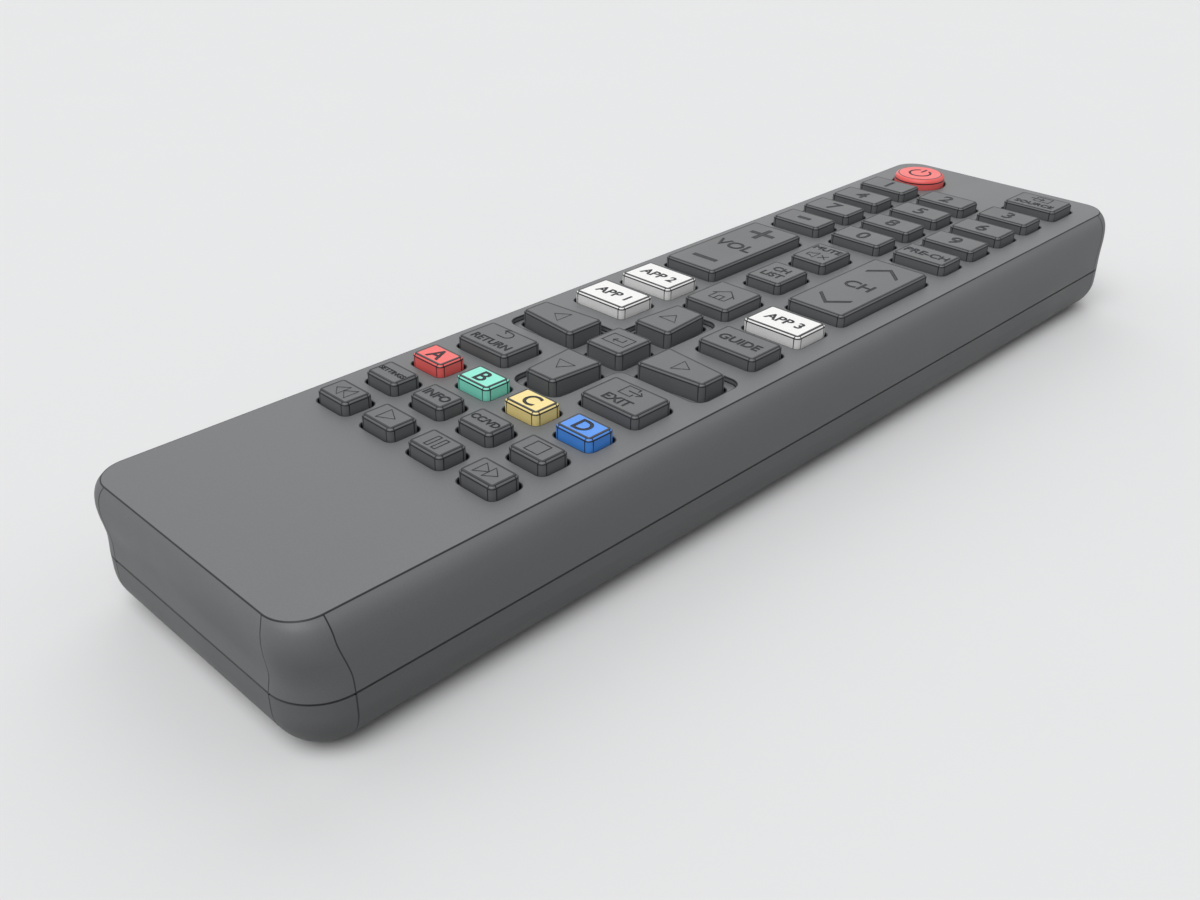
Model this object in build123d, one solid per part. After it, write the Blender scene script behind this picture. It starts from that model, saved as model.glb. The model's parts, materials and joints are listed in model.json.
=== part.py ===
from build123d import *
from dataclasses import dataclass
from math import cos, pi, sin
import os

os.makedirs("parts", exist_ok=True)

# A hand-held remote control. +X is to the right of the keypad, +Y points at the head with the
# infrared window, +Z is up. The origin is under the middle of the case, on the surface it lies on.

# Keypad columns, across the face plate
column_pitch = 12.05
keypad_shift = -0.3
side_margin = 3.6

# Keypad rows, from the near edge of the face plate to its far edge
near_margin = 28.9
small_row_gap = 3.15
well_gap = 1.95
side_key_gap = 3.65
shortcut_gap = 3.2
rocker_gap = 3.45
list_key_gap = 4.45
mute_key_gap = 3.55
digit_block_gap = 4.45
digit_row_gap = 2.85
source_gap = 3.9
power_drop = 0.9
far_margin = 5.9

# Key sizes over the walls
small_key = (6.1, 4.35)
digit_key = (9.35, 5.75)
side_key = (9.8, 6.7)
home_key = (8.0, 8.7)
middle_key = (6.5, 7.8)
rocker_key = (9.85, 22.6)
source_key = (9.6, 7.1)
ok_key = (6.6, 6.7)
arrow_reach = 2.95
side_arrow_length = 10.85
upright_arrow_length = 8.65
arrow_inner_width = 6.7
side_arrow_outer_width = 4.7
upright_arrow_outer_width = 5.3
power_diameter = 9.1
power_inset = 0.5
power_wall = 1.05
power_crown = 0.8
power_crown_inset = 0.65

# Key section
key_rise = 1.6
key_corner = 0.7
key_bevel = 0.3
key_wall = 1.0
key_roof = 1.2
key_rib = 1.6
key_clearance = 0.3
flange_reach = 0.8
flange_thickness = 0.6
flange_gap = 0.1
rocker_lug_length = 2.4
rocker_press_offset = 7.0

# How far a cutting block runs past what it cuts
overrun = 1.0

# Recess round the five direction keys
well_depth = 0.7
well_end_margin = 1.2
well_side_margin = 0.9
well_outer_corner = 1.8
well_inner_corner = 1.5

# Stack from the cover under the cells to the face plate
cover_lift = 0.1
cover_thickness = 1.3
cell_drop_clearance = 0.2
cell_diameter = 10.5
cell_roof_clearance = 0.1
bay_roof = 0.5
board_thickness = 1.0
mat_thickness = 0.8
dome_height = 0.95
plate_thickness = 1.5

# Case shells
plate_corner = 4.2
case_side_bulge = 1.9
case_end_bulge = 0.88
case_corner_growth = 2.0
lower_height = 7.85
bottom_radius = 5.8
case_wall = 1.6
seam_gap = 0.25
tongue_thickness = 0.7
tongue_height = 1.2
tongue_clearance = 0.1

# Catches that snap the shells together, along the seam's tongue
catch_width = 6.0
catch_height = 0.5
catch_rise = 0.5
catch_reach = 0.35
catch_clearance = 0.08
side_catch_places = (20.0, 63.0, 107.0, 150.0)
end_catch_offset = 12.5

# How the sides of the upper case swell below the face plate: share of the height,
# then shares of the side bulge, the end bulge and the growth of the corners
case_profile = (
    (0.0, 0.0, 0.0, 0.0),
    (0.08, 0.40, 0.48, 0.20),
    (0.18, 0.67, 0.84, 0.38),
    (0.31, 0.82, 1.0, 0.50),
    (0.46, 0.92, 0.91, 0.63),
    (0.61, 0.96, 0.66, 0.73),
    (0.77, 0.99, 0.50, 0.83),
    (1.0, 1.0, 0.75, 1.0),
)

case_levels = 10
case_level_spread = 1.4

# Cells, their bay and its cover
cell_length = 44.5
cell_nub_diameter = 3.8
cell_nub_length = 0.8
cell_edge = 0.5
cell_gap = 0.7
cell_side_clearance = 0.3
contact_thickness = 0.4
contact_width = 8.4
contact_height = 7.2
contact_tab_width = 2.4
contact_slot_clearance = 0.3
spring_length = 4.7
spring_base_radius = 3.2
spring_tip_radius = 2.0
spring_wire = 0.6
spring_turns = 3
spring_seat_clearance = 0.02
spring_samples = 24
bay_start = 14.0
bay_wall = 1.2
cradle_width = 8.0
cradle_drop = 4.2
seat_thickness = 1.4
seat_width = 1.5
cover_seat_gap = 0.1
cover_clearance = 0.15
cover_corner = 1.5
cover_overlap = 1.0
hook_zone = 4.3
latch_zone = 7.0
hook_offset = 6.5
hook_width = 5.0
hook_reach = 2.0
hook_thickness = 1.0
hook_root = 0.9
hook_clearance = 0.15
hook_slot_height = 2.5
hook_slot_reach = 0.5
hook_slot_depth = 2.0
latch_width = 8.0
latch_reach = 2.2
latch_slit_width = 0.8
latch_slit_length = 8.5
latch_slit_spacing = 10.0
cover_rib_width = 1.0
cover_rib_height = 1.2
cover_rib_margin = 2.0
grip_count = 5
grip_pitch = 1.8
grip_width = 0.8
grip_depth = 0.35
grip_length = 14.0
grip_place = 14.0

# Rubber mat and circuit board
mat_side_margin = 1.6
mat_margin = 3.5
mat_corner = 2.0
dome_size = (4.4, 3.4)
dome_taper = 20
dome_skin = 0.5
board_side_margin = 2.1
board_margin = 3.0
board_corner = 3.0
post_diameter = 3.6
post_offset = 15.5
post_places = (9.0, 82.5, 118.4, 154.7)
peg_diameter = 1.8
peg_clearance = 0.15
peg_drop = 0.1
floor_rib_thickness = 1.0
floor_rib_height = 3.0
pillar_diameter = 3.0
pillar_offset = 12.0
pillar_place = 12.0
head_pillar_place = 160.0
pillar_mat_clearance = 0.5

# Infrared emitter and its window in the head
window_width = 15.0
window_height = 4.0
window_sill = 0.4
window_clearance = 0.1
window_corner = 0.8
window_ear = 1.5
window_ear_thickness = 0.8
emitter_diameter = 3.0
emitter_flange_diameter = 3.8
emitter_flange_thickness = 1.0
emitter_length = 5.2
emitter_board_gap = 0.1
emitter_window_gap = 0.5
lead_size = 0.5
lead_spacing = 2.54
lead_length = 2.5

# Parts soldered under the board, placed from the near edge of the face plate
chip_size = (7.5, 12.6, 1.8)
chip_place = (-4.0, 98.0)
chip_pins = 8
chip_pin_pitch = 1.27
chip_pin = (1.2, 0.45, 0.5)
chip_stand_off = 0.2
resonator_size = (10.4, 4.6, 3.4)
resonator_place = (8.0, 98.0)
capacitor_diameter = 5.0
capacitor_height = 7.0
capacitor_edge = 0.4
capacitor_place = (9.0, 84.0)
transistor_diameter = 4.6
transistor_flat = 1.2
transistor_height = 4.5
transistor_leg = 0.6
transistor_leg_size = 0.4
transistor_leg_pitch = 1.27
transistor_leg_root = 0.5
transistor_place = (7.0, 148.0)
resistor_size = (2.0, 1.25, 0.6)
resistor_place = (0.0, 128.0)
resistor_pitch = 4.0
resistor_count = 5

# Widths worked out from the sizes above
key_field_width = 2 * column_pitch + rocker_key[0]
plate_width = key_field_width + 2 * side_margin
quad_pitch = (key_field_width - small_key[0]) / 3
arrow_start = ok_key[0] / 2 + arrow_reach
well_half_width = arrow_start + side_arrow_length + well_end_margin
well_half_length = ok_key[1] / 2 + arrow_reach + upright_arrow_length + well_end_margin
well_arm_half = arrow_inner_width / 2 + well_side_margin
mat_width = plate_width - 2 * mat_side_margin
board_width = plate_width - 2 * board_side_margin

# Row centres, measured from the near edge of the face plate
transport_row = near_margin + small_key[1] / 2
function_row = transport_row + small_key[1] + small_row_gap
colour_row = function_row + small_key[1] + small_row_gap
arrow_centre = colour_row + small_key[1] / 2 + well_gap + well_half_length
side_row_step = well_arm_half + side_key_gap + side_key[1] / 2
return_row = arrow_centre - side_row_step
guide_row = arrow_centre + side_row_step
shortcut_row = guide_row + side_key[1] + shortcut_gap
home_row = shortcut_row - side_key[1] / 2 + home_key[1] / 2
rocker_row = shortcut_row + side_key[1] / 2 + rocker_gap + rocker_key[1] / 2
list_row = home_row + home_key[1] / 2 + list_key_gap + middle_key[1] / 2
mute_row = list_row + middle_key[1] + mute_key_gap
digit_row_step = digit_key[1] + digit_row_gap
first_digit_row = rocker_row + rocker_key[1] / 2 + digit_block_gap + digit_key[1] / 2
last_digit_row = first_digit_row + 3 * digit_row_step
source_row = last_digit_row + digit_key[1] / 2 + source_gap + source_key[1] / 2
power_row = source_row - power_drop
plate_length = source_row + source_key[1] / 2 + far_margin
near_edge = -plate_length / 2

# Heights worked out from the stack
cover_top = cover_lift + cover_thickness
cell_axis = cover_top + cell_drop_clearance + cell_diameter / 2
bay_ceiling = cell_axis + cell_diameter / 2 + cell_roof_clearance
board_bottom = bay_ceiling + bay_roof
board_top = board_bottom + board_thickness
mat_top = board_top + mat_thickness
key_bottom = mat_top + dome_height
plate_bottom = key_bottom + flange_thickness + flange_gap
case_height = plate_bottom + plate_thickness
cap_height = flange_thickness + flange_gap + plate_thickness + key_rise

# Heights and insets worked out from the shells
rebate_top = lower_height + tongue_height + seam_gap
upper_height = case_height - lower_height - seam_gap
tongue_inset = case_wall - tongue_thickness

# Bay of the cells
cell_offset = (cell_diameter + cell_gap) / 2
bay_half_width = cell_offset + cell_diameter / 2 + cell_side_clearance
bay_length = cell_length + spring_length + 2 * contact_thickness
bay_near = near_edge + bay_start
bay_far = bay_near + bay_length
cover_near = bay_near - hook_zone
cover_far = bay_far + latch_zone
cover_bottom_gap = cover_top + cover_seat_gap

# Ways to set a block on its base, and against a face on its near or far side
on_base = (Align.CENTER, Align.CENTER, Align.MIN)
from_near = (Align.CENTER, Align.MIN, Align.MIN)


@dataclass
class Key:
    """One key: its node, its outline's corners about its own centre, and where it stands."""

    node: str
    corners: tuple
    x: float
    y: float


def rectangle_corners(size):
    """Corners of a rectangle about its own centre."""
    across, along = size[0] / 2, size[1] / 2
    return ((-across, -along), (across, -along), (across, along), (-across, along))


def arrow_corners(length, inner_width, outer_width, quarter_turns):
    """Corners of a direction key that narrows away from the middle, pointing +X before it is turned."""
    corners = [
        (-length / 2, -inner_width / 2),
        (length / 2, -outer_width / 2),
        (length / 2, outer_width / 2),
        (-length / 2, inner_width / 2),
    ]
    for _ in range(quarter_turns):
        corners = [(-y, x) for x, y in corners]
    return tuple(corners)


def row_of_keys(nodes, columns, row, size):
    """Keys of one size side by side in a row."""
    corners = rectangle_corners(size)
    return [
        Key(node, corners, keypad_shift + column, near_edge + row)
        for node, column in zip(nodes, columns)
    ]


def rectangular_keys():
    """Every flat key with a four-sided outline, from the near end to the head."""
    quad = [(place - 1.5) * quad_pitch for place in range(4)]
    triple = (-column_pitch, 0.0, column_pitch)
    pair = (-column_pitch, column_pitch)
    transport = ("key_rewind", "key_play", "key_pause", "key_forward")
    functions = ("key_settings", "key_info", "key_captions", "key_stop")
    colours = ("key_red", "key_green", "key_yellow", "key_blue")
    digits = (
        ("key_dash", "key_0", "key_previous"),
        ("key_7", "key_8", "key_9"),
        ("key_4", "key_5", "key_6"),
        ("key_1", "key_2", "key_3"),
    )
    keys = row_of_keys(transport, quad, transport_row, small_key)
    keys += row_of_keys(functions, quad, function_row, small_key)
    keys += row_of_keys(colours, quad, colour_row, small_key)
    keys += row_of_keys(("key_return", "key_exit"), pair, return_row, side_key)
    keys += row_of_keys(("key_shortcut_1", "key_guide"), pair, guide_row, side_key)
    keys += row_of_keys(("key_shortcut_2", "key_shortcut_3"), pair, shortcut_row, side_key)
    keys += row_of_keys(("key_home",), (0.0,), home_row, home_key)
    keys += row_of_keys(("key_channel_list",), (0.0,), list_row, middle_key)
    keys += row_of_keys(("key_mute",), (0.0,), mute_row, middle_key)
    for place, nodes in enumerate(digits):
        keys += row_of_keys(nodes, triple, first_digit_row + place * digit_row_step, digit_key)
    keys += row_of_keys(("key_source",), (column_pitch,), source_row, source_key)
    keys += row_of_keys(("key_ok",), (0.0,), arrow_centre, ok_key)
    return keys


def direction_keys():
    """The four direction keys, each narrowing outwards from the middle key."""
    arrows = []
    side_step = arrow_start + side_arrow_length / 2
    upright_step = ok_key[1] / 2 + arrow_reach + upright_arrow_length / 2
    for turns, node in enumerate(("key_right", "key_up", "key_left", "key_down")):
        upright = turns % 2 == 1
        length = upright_arrow_length if upright else side_arrow_length
        outer = upright_arrow_outer_width if upright else side_arrow_outer_width
        step = upright_step if upright else side_step
        x = keypad_shift + step * round(cos(turns * pi / 2))
        y = near_edge + arrow_centre + step * round(sin(turns * pi / 2))
        arrows.append(Key(node, arrow_corners(length, arrow_inner_width, outer, turns), x, y))
    return arrows


def key_outline(corners, growth):
    """Outline of a key, larger all round by growth, its corners rounded where a radius is left."""
    face = Polygon(*corners, align=None)
    if growth:
        face = offset(face, growth, kind=Kind.INTERSECTION)
    radius = key_corner + growth
    if radius > 0:
        face = fillet(face.vertices(), radius)
    return face


def key_body(corners):
    """Solid key over its whole height, with a bevel round its top."""
    body = extrude(key_outline(corners, 0), cap_height)
    return chamfer(body.faces().sort_by(Axis.Z)[-1].edges(), key_bevel)


def key_pocket(corners):
    """Hollow under a key, up to its roof."""
    return extrude(key_outline(corners, -key_wall), cap_height - key_roof)


def key_cap(key):
    """Key cap with a flange that the face plate holds down, and a rib over its dome."""
    pocket = key_pocket(key.corners)
    size = pocket.bounding_box().size
    if size.X >= size.Y:
        rib = Box(key_rib, size.Y + overrun, cap_height, align=on_base)
    else:
        rib = Box(size.X + overrun, key_rib, cap_height, align=on_base)
    flange = extrude(key_outline(key.corners, flange_reach), flange_thickness)
    cap = key_body(key.corners) + flange - (pocket - rib)
    return Pos(key.x, key.y, key_bottom) * cap


def rocker_cap(key):
    """Two-way rocker with a rib over each dome and a lug at each side to tilt on."""
    width, length = rocker_key
    pocket = key_pocket(key.corners)
    rib = Box(width, key_rib, cap_height, align=on_base)
    pocket -= [Pos(0, place, 0) * rib for place in (-rocker_press_offset, 0, rocker_press_offset)]
    lugs = extrude(Rectangle(width + 2 * flange_reach, rocker_lug_length), flange_thickness)
    lugs -= extrude(Rectangle(width - key_wall, length), flange_thickness)
    return Pos(key.x, key.y, key_bottom) * (key_body(key.corners) - pocket + lugs)


def power_cap(x, y):
    """Round power key: a straight wall, a domed rim and a flat top."""
    wall = power_diameter / 2
    foot = wall + flange_reach
    flat = wall - power_crown_inset
    flange = flange_thickness
    shoulder = flange + flange_gap + plate_thickness + power_wall
    top = shoulder + power_crown
    corners = ((flat, top), (0, top), (0, 0), (foot, 0), (foot, flange), (wall, flange), (wall, shoulder))
    section = make_face([Polyline(*corners), TangentArc((wall, shoulder), (flat, top), tangent=(0, 1))])
    cap = revolve(Plane.XZ * section, Axis.Z)
    pocket = Cylinder(wall - key_wall, shoulder - key_roof, align=on_base)
    pocket -= Box(key_rib, power_diameter, cap_height, align=on_base)
    return Pos(x, y, key_bottom) * (cap - pocket)


def profile_slope(row, column):
    """Slope of one column of the case profile at a row."""
    before = case_profile[max(row - 1, 0)]
    after = case_profile[min(row + 1, len(case_profile) - 1)]
    return (after[column] - before[column]) / (after[0] - before[0])


def profile_value(share, column):
    """One column of the case profile on a smooth curve through its rows."""
    row = 0
    while row < len(case_profile) - 2 and share > case_profile[row + 1][0]:
        row += 1
    upper, lower = case_profile[row], case_profile[row + 1]
    span = lower[0] - upper[0]
    part = (share - upper[0]) / span
    value = upper[column] * (2 * part**3 - 3 * part**2 + 1) + lower[column] * (3 * part**2 - 2 * part**3)
    value += profile_slope(row, column) * span * (part**3 - 2 * part**2 + part)
    return value + profile_slope(row + 1, column) * span * (part**3 - part**2)


def case_section(share, inset):
    """Outline of the case at a share of the upper shell's height, set in from the outside."""
    width = plate_width + 2 * (profile_value(share, 1) * case_side_bulge - inset)
    length = plate_length + 2 * (profile_value(share, 2) * case_end_bulge - inset)
    corner = plate_corner + profile_value(share, 3) * case_corner_growth - inset
    return RectangleRounded(width, length, corner)


def case_loft(first_share, inset):
    """Solid through the case outlines from a share of the height down, set in from the outside."""
    steps = [(level / case_levels) ** case_level_spread for level in range(case_levels + 1)]
    shares = [first_share + (1 - first_share) * step for step in steps]
    heights = [case_height - share * upper_height for share in shares]
    sections = [Pos(0, 0, height) * case_section(share, inset) for share, height in zip(shares, heights)]
    return loft(sections, ruled=True)


def catches(growth):
    """Catches round the seam's tongue, larger all round by growth."""
    ring = case_section(1.0, tongue_inset - catch_reach - growth)
    ring -= case_section(1.0, tongue_inset + tongue_thickness / 2)
    width = catch_width + 2 * growth
    strips = [Pos(0, near_edge + place) * Rectangle(2 * plate_width, width) for place in side_catch_places]
    strips += [Pos(side * end_catch_offset, 0) * Rectangle(width, 2 * plate_length) for side in (-1, 1)]
    band = extrude(ring & (Sketch() + strips), catch_height + 2 * growth)
    return Pos(0, 0, lower_height + catch_rise - growth) * band


def window_block(growth, ear):
    """Block across the head where the infrared window stands, larger by growth, with room for its ears."""
    width = window_width + 2 * (growth + ear)
    outline = RectangleRounded(width, window_height + 2 * growth, window_corner + growth)
    face = Plane.XZ * (Pos(0, rebate_top + window_sill + window_height / 2) * outline)
    depth = case_end_bulge + case_wall + window_ear_thickness + 2 * overrun
    return Pos(0, plate_length / 2 + case_end_bulge + overrun, 0) * extrude(face, depth)


def well_recess():
    """Plus-shaped recess round the direction keys, with rounded outer and inner corners."""
    plus = RectangleRounded(2 * well_half_width, 2 * well_arm_half, well_outer_corner)
    plus += RectangleRounded(2 * well_arm_half, 2 * well_half_length, well_outer_corner)
    plus = fillet(plus.vertices().sort_by_distance((0, 0, 0))[:4], well_inner_corner)
    recess = extrude(plus, well_depth + overrun)
    return Pos(keypad_shift, near_edge + arrow_centre, case_height - well_depth) * recess


def key_holes(keys, power_place):
    """Holes in the face plate, each its key's outline with the running clearance all round."""
    low = plate_bottom - overrun
    depth = plate_thickness + 2 * overrun
    holes = []
    for key in keys:
        holes.append(Pos(key.x, key.y, low) * extrude(key_outline(key.corners, key_clearance), depth))
    round_hole = Cylinder(power_diameter / 2 + key_clearance, depth, align=on_base)
    return holes + [Pos(power_place[0], power_place[1], low) * round_hole]


def upper_case(keys, power_place):
    """Upper shell: face plate with a hole for each key, swelling sides and a rebate at the seam."""
    shell = case_loft(0, 0) - case_loft(plate_thickness / upper_height, case_wall)
    rebate = extrude(case_section(1.0, tongue_inset - tongue_clearance), rebate_top - lower_height)
    shell -= Pos(0, 0, lower_height) * rebate
    shell -= catches(catch_clearance)
    shell = shell - key_holes(keys, power_place) - well_recess() - window_block(window_clearance, 0)
    pillar = extrude(Circle(pillar_diameter / 2), plate_bottom - board_top)
    places = [(side * pillar_offset, near_edge + pillar_place) for side in (-1, 1)]
    places.append((0, near_edge + head_pillar_place))
    return shell + [Pos(x, y, board_top) * pillar for x, y in places]


def cover_outline(growth):
    """Outline of the cell cover with its thumb lip, larger all round by growth."""
    half = bay_half_width + cover_overlap
    body = RectangleRounded(2 * (half + growth), cover_far - cover_near + 2 * growth, cover_corner + growth)
    lip = Rectangle(latch_width + 2 * growth, 2 * (latch_reach + growth))
    return Pos(0, (cover_near + cover_far) / 2) * body + Pos(0, cover_far) * lip


def bay_block(low, high, growth):
    """Block over the cell bay between two heights, larger all round by growth."""
    size = (2 * (bay_half_width + growth), bay_length + 2 * growth, high - low)
    return Pos(0, (bay_near + bay_far) / 2, (low + high) / 2) * Box(*size)


def cell_cradle():
    """Rib along the bay's roof that keeps the cells apart, hollowed to their shape."""
    length = bay_length - 2 * (contact_thickness + spring_length)
    rib = Box(cradle_width, length, cradle_drop + bay_roof / 2, align=on_base)
    middle = (bay_near + bay_far) / 2
    cradle = Pos(0, middle, bay_ceiling - cradle_drop) * rib
    hollow = Rot(X=90) * Cylinder(cell_diameter / 2 + cell_roof_clearance, bay_length)
    return cradle - [Pos(side * cell_offset, middle, cell_axis) * hollow for side in (-1, 1)]


def hook_slots():
    """Slots over the bottom wall where the cover's hooks reach in and tilt."""
    length = hook_slot_reach + hook_reach + hook_root + hook_slot_depth
    slot = Box(hook_width + 2 * hook_clearance, length, hook_slot_height, align=from_near)
    near = cover_near - hook_reach - hook_slot_reach
    return [Pos(side * hook_offset, near, cover_bottom_gap) * slot for side in (-1, 1)]


def contact_slots():
    """Slots in the bay's roof that let the contact tabs reach the board."""
    width = contact_tab_width + 2 * contact_slot_clearance
    depth = contact_thickness + contact_slot_clearance
    slot = Box(width, depth, bay_roof + 2 * overrun, align=on_base)
    place = bay_far - depth / 2
    return [Pos(side * cell_offset, place, bay_ceiling - overrun) * slot for side in (-1, 1)]


def post_points():
    """Middles of the posts that carry the board."""
    return [(side * post_offset, near_edge + place) for side in (-1, 1) for place in post_places]


def board_posts():
    """Posts from the floor to the board, each with a peg that places the board and the mat."""
    post = extrude(Circle(post_diameter / 2), board_bottom - case_wall / 2)
    peg_height = board_thickness + mat_thickness - peg_drop
    post += Pos(0, 0, board_bottom - case_wall / 2) * extrude(Circle(peg_diameter / 2), peg_height)
    return [Pos(x, y, case_wall / 2) * post for x, y in post_points()]


def peg_holes(low, depth):
    """Holes for the posts' pegs through a layer above the posts."""
    hole = extrude(Circle(peg_diameter / 2 + peg_clearance), depth + 2 * overrun)
    return [Pos(x, y, low - overrun) * hole for x, y in post_points()]


def lower_case():
    """Lower shell: rounded tray with a tongue for the seam, the cell bay and posts for the board."""
    tray = extrude(case_section(1.0, 0), lower_height)
    tray = fillet(tray.faces().sort_by(Axis.Z)[0].edges(), bottom_radius)
    hollow = Pos(0, 0, case_wall) * extrude(case_section(1.0, case_wall), lower_height)
    hollow = fillet(hollow.faces().sort_by(Axis.Z)[0].edges(), bottom_radius - case_wall)
    rib = Box(2 * plate_width, floor_rib_thickness, floor_rib_height, align=on_base)
    hollow -= [Pos(0, near_edge + place, case_wall) * rib for place in post_places[1:]]
    tray -= hollow
    tongue = case_section(1.0, tongue_inset) - case_section(1.0, case_wall)
    tray += Pos(0, 0, lower_height - overrun) * extrude(tongue, tongue_height + overrun)
    tray += catches(0)
    seat = extrude(offset(cover_outline(cover_clearance), seat_width), seat_thickness)
    tray += Pos(0, 0, cover_bottom_gap) * seat
    tray += bay_block(cover_bottom_gap, board_bottom, bay_wall)
    tray -= bay_block(-overrun, bay_ceiling, 0)
    tray += cell_cradle()
    tray -= Pos(0, 0, -overrun) * extrude(cover_outline(cover_clearance), cover_bottom_gap + overrun)
    tray -= hook_slots()
    tray -= contact_slots()
    return tray + board_posts()


def battery_cover():
    """Cell cover: plate with two hooks, a sprung thumb latch, a rib between the cells and grip lines."""
    cover = Pos(0, 0, cover_lift) * extrude(cover_outline(0), cover_thickness)
    slit = Box(latch_slit_width, 2 * latch_slit_length, 3 * cover_thickness)
    cover -= [Pos(side * latch_slit_spacing / 2, cover_far, cover_top) * slit for side in (-1, 1)]
    hook_low = case_wall + hook_clearance
    root = Box(hook_width, hook_root, hook_low + hook_thickness - cover_top, align=from_near)
    hook = Box(hook_width, hook_reach + hook_root, hook_thickness, align=from_near)
    for x in (-hook_offset, hook_offset):
        cover += Pos(x, cover_near, cover_top) * root
        cover += Pos(x, cover_near - hook_reach, hook_low) * hook
    rib = Box(cover_rib_width, bay_length - 2 * cover_rib_margin, cover_rib_height, align=on_base)
    cover += Pos(0, (bay_near + bay_far) / 2, cover_top) * rib
    groove = Box(grip_length, grip_width, 2 * grip_depth)
    first = cover_far - grip_place - (grip_count - 1) / 2 * grip_pitch
    places = [first + number * grip_pitch for number in range(grip_count)]
    return cover - [Pos(0, place, cover_lift) * groove for place in places]


def battery_cells():
    """Two cells side by side, pointing opposite ways."""
    can_length = cell_length - cell_nub_length
    can = extrude(Circle(cell_diameter / 2), can_length)
    can = fillet(can.faces().sort_by(Axis.Z)[-1].edges(), cell_edge)
    cell = can + Pos(0, 0, can_length) * extrude(Circle(cell_nub_diameter / 2), cell_nub_length)
    far_start = bay_far - contact_thickness - cell_length
    near_start = bay_near + contact_thickness + cell_length
    upward = Pos(cell_offset, far_start, cell_axis) * Rot(X=-90) * cell
    downward = Pos(-cell_offset, near_start, cell_axis) * Rot(X=90) * cell
    return Compound([upward, downward])


def spring_path():
    """Middle line of a conical spring: half-turn arcs, each tilted along its chord, that join smoothly."""
    half_turns = 2 * spring_turns
    rise = (spring_length - spring_wire - 2 * spring_seat_clearance) / half_turns
    shrink = (spring_base_radius - spring_tip_radius) / half_turns
    first = spring_wire / 2 + spring_seat_clearance
    arcs = []
    for turn in range(half_turns):
        side = 1 if turn % 2 == 0 else -1
        start = Vector(side * (spring_base_radius - turn * shrink), 0, first + turn * rise)
        end = Vector(-side * (spring_base_radius - (turn + 1) * shrink), 0, first + (turn + 1) * rise)
        crest = (start + end) / 2 + Vector(0, side * (end - start).length / 2, 0)
        arcs.append(ThreePointArc(start, crest, end))
    return Wire(arcs)


def least_spring_gap(path):
    """Least gap of the spring's wire to itself, between points half a turn or more apart."""
    count = spring_turns * spring_samples
    points = [path @ (number / count) for number in range(count + 1)]
    pairs = [(a, b) for a in range(count + 1) for b in range(a + spring_samples // 2, count + 1)]
    return min((points[b] - points[a]).length for a, b in pairs) - spring_wire


def spring_contacts():
    """Springs against the flat end of each cell."""
    path = spring_path()
    print(f"spring's least gap to itself: {least_spring_gap(path):.2f} mm")
    coil = sweep(Plane(origin=path @ 0, z_dir=path % 0) * Circle(spring_wire / 2), path)
    near_coil = Pos(cell_offset, bay_near + contact_thickness, cell_axis) * Rot(X=-90) * coil
    far_coil = Pos(-cell_offset, bay_far - contact_thickness, cell_axis) * Rot(X=90) * coil
    return Compound([near_coil, far_coil])


def plate_contacts():
    """Sheet contacts: a link across the near end, and two plates with tabs up to the board."""
    bottom = cell_axis - contact_height / 2
    link = Box(2 * cell_offset + contact_width, contact_thickness, contact_height, align=from_near)
    plate = Box(contact_width, contact_thickness, contact_height, align=from_near)
    plate += Box(contact_tab_width, contact_thickness, board_bottom - bottom, align=from_near)
    plates = [Pos(side * cell_offset, bay_far - contact_thickness, bottom) * plate for side in (-1, 1)]
    return Compound([Pos(0, bay_near, bottom) * link] + plates)


def keypad_mat(places):
    """Rubber mat with a hollow dome under each press point."""
    near = near_edge + near_margin - mat_margin
    far = -near_edge - far_margin + mat_margin
    sheet = extrude(RectangleRounded(mat_width, far - near, mat_corner), mat_thickness)
    mat = Pos(0, (near + far) / 2, board_top) * sheet
    dome = extrude(Rectangle(*dome_size), dome_height, taper=dome_taper)
    inside = Rectangle(dome_size[0] - 2 * dome_skin, dome_size[1] - 2 * dome_skin)
    hollow = extrude(inside, mat_thickness + dome_height - dome_skin, taper=dome_taper)
    mat += [Pos(x, y, mat_top) * dome for x, y in places]
    mat -= [Pos(x, y, board_top) * hollow for x, y in places]
    mat -= peg_holes(board_top, mat_thickness)
    pillar_hole = Cylinder(pillar_diameter / 2 + pillar_mat_clearance, 3 * mat_thickness)
    return mat - Pos(0, near_edge + head_pillar_place, board_top) * pillar_hole


def circuit_board():
    """Circuit board over the cell bay and the posts, placed by the posts' pegs."""
    outline = RectangleRounded(board_width, plate_length - 2 * board_margin, board_corner)
    board = Pos(0, 0, board_bottom) * extrude(outline, board_thickness)
    return board - peg_holes(board_bottom, board_thickness)


def under_board(place, height):
    """Location of a part that hangs under the board, with its foot at the given height below it."""
    return Pos(place[0], near_edge + place[1], board_bottom - height)


def control_chip():
    """Control chip with a row of pins along each side, soldered under the board."""
    width, length, height = chip_size
    body = Box(width, length, height - chip_stand_off, align=on_base)
    pin = Box(*chip_pin, align=(Align.CENTER, Align.CENTER, Align.MAX))
    pins = [
        Pos(side * (width + chip_pin[0]) / 2, (number - (chip_pins - 1) / 2) * chip_pin_pitch, height) * pin
        for side in (-1, 1)
        for number in range(chip_pins)
    ]
    return under_board(chip_place, height) * (body + pins)


def resonator():
    """Metal-canned resonator with rounded ends."""
    length, width, height = resonator_size
    can = extrude(SlotOverall(length, width), height)
    return under_board(resonator_place, height) * Rot(Z=90) * can


def capacitor():
    """Can capacitor standing under the board."""
    can = extrude(Circle(capacitor_diameter / 2), capacitor_height)
    can = fillet(can.faces().sort_by(Axis.Z)[0].edges(), capacitor_edge)
    return under_board(capacitor_place, capacitor_height) * can


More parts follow.
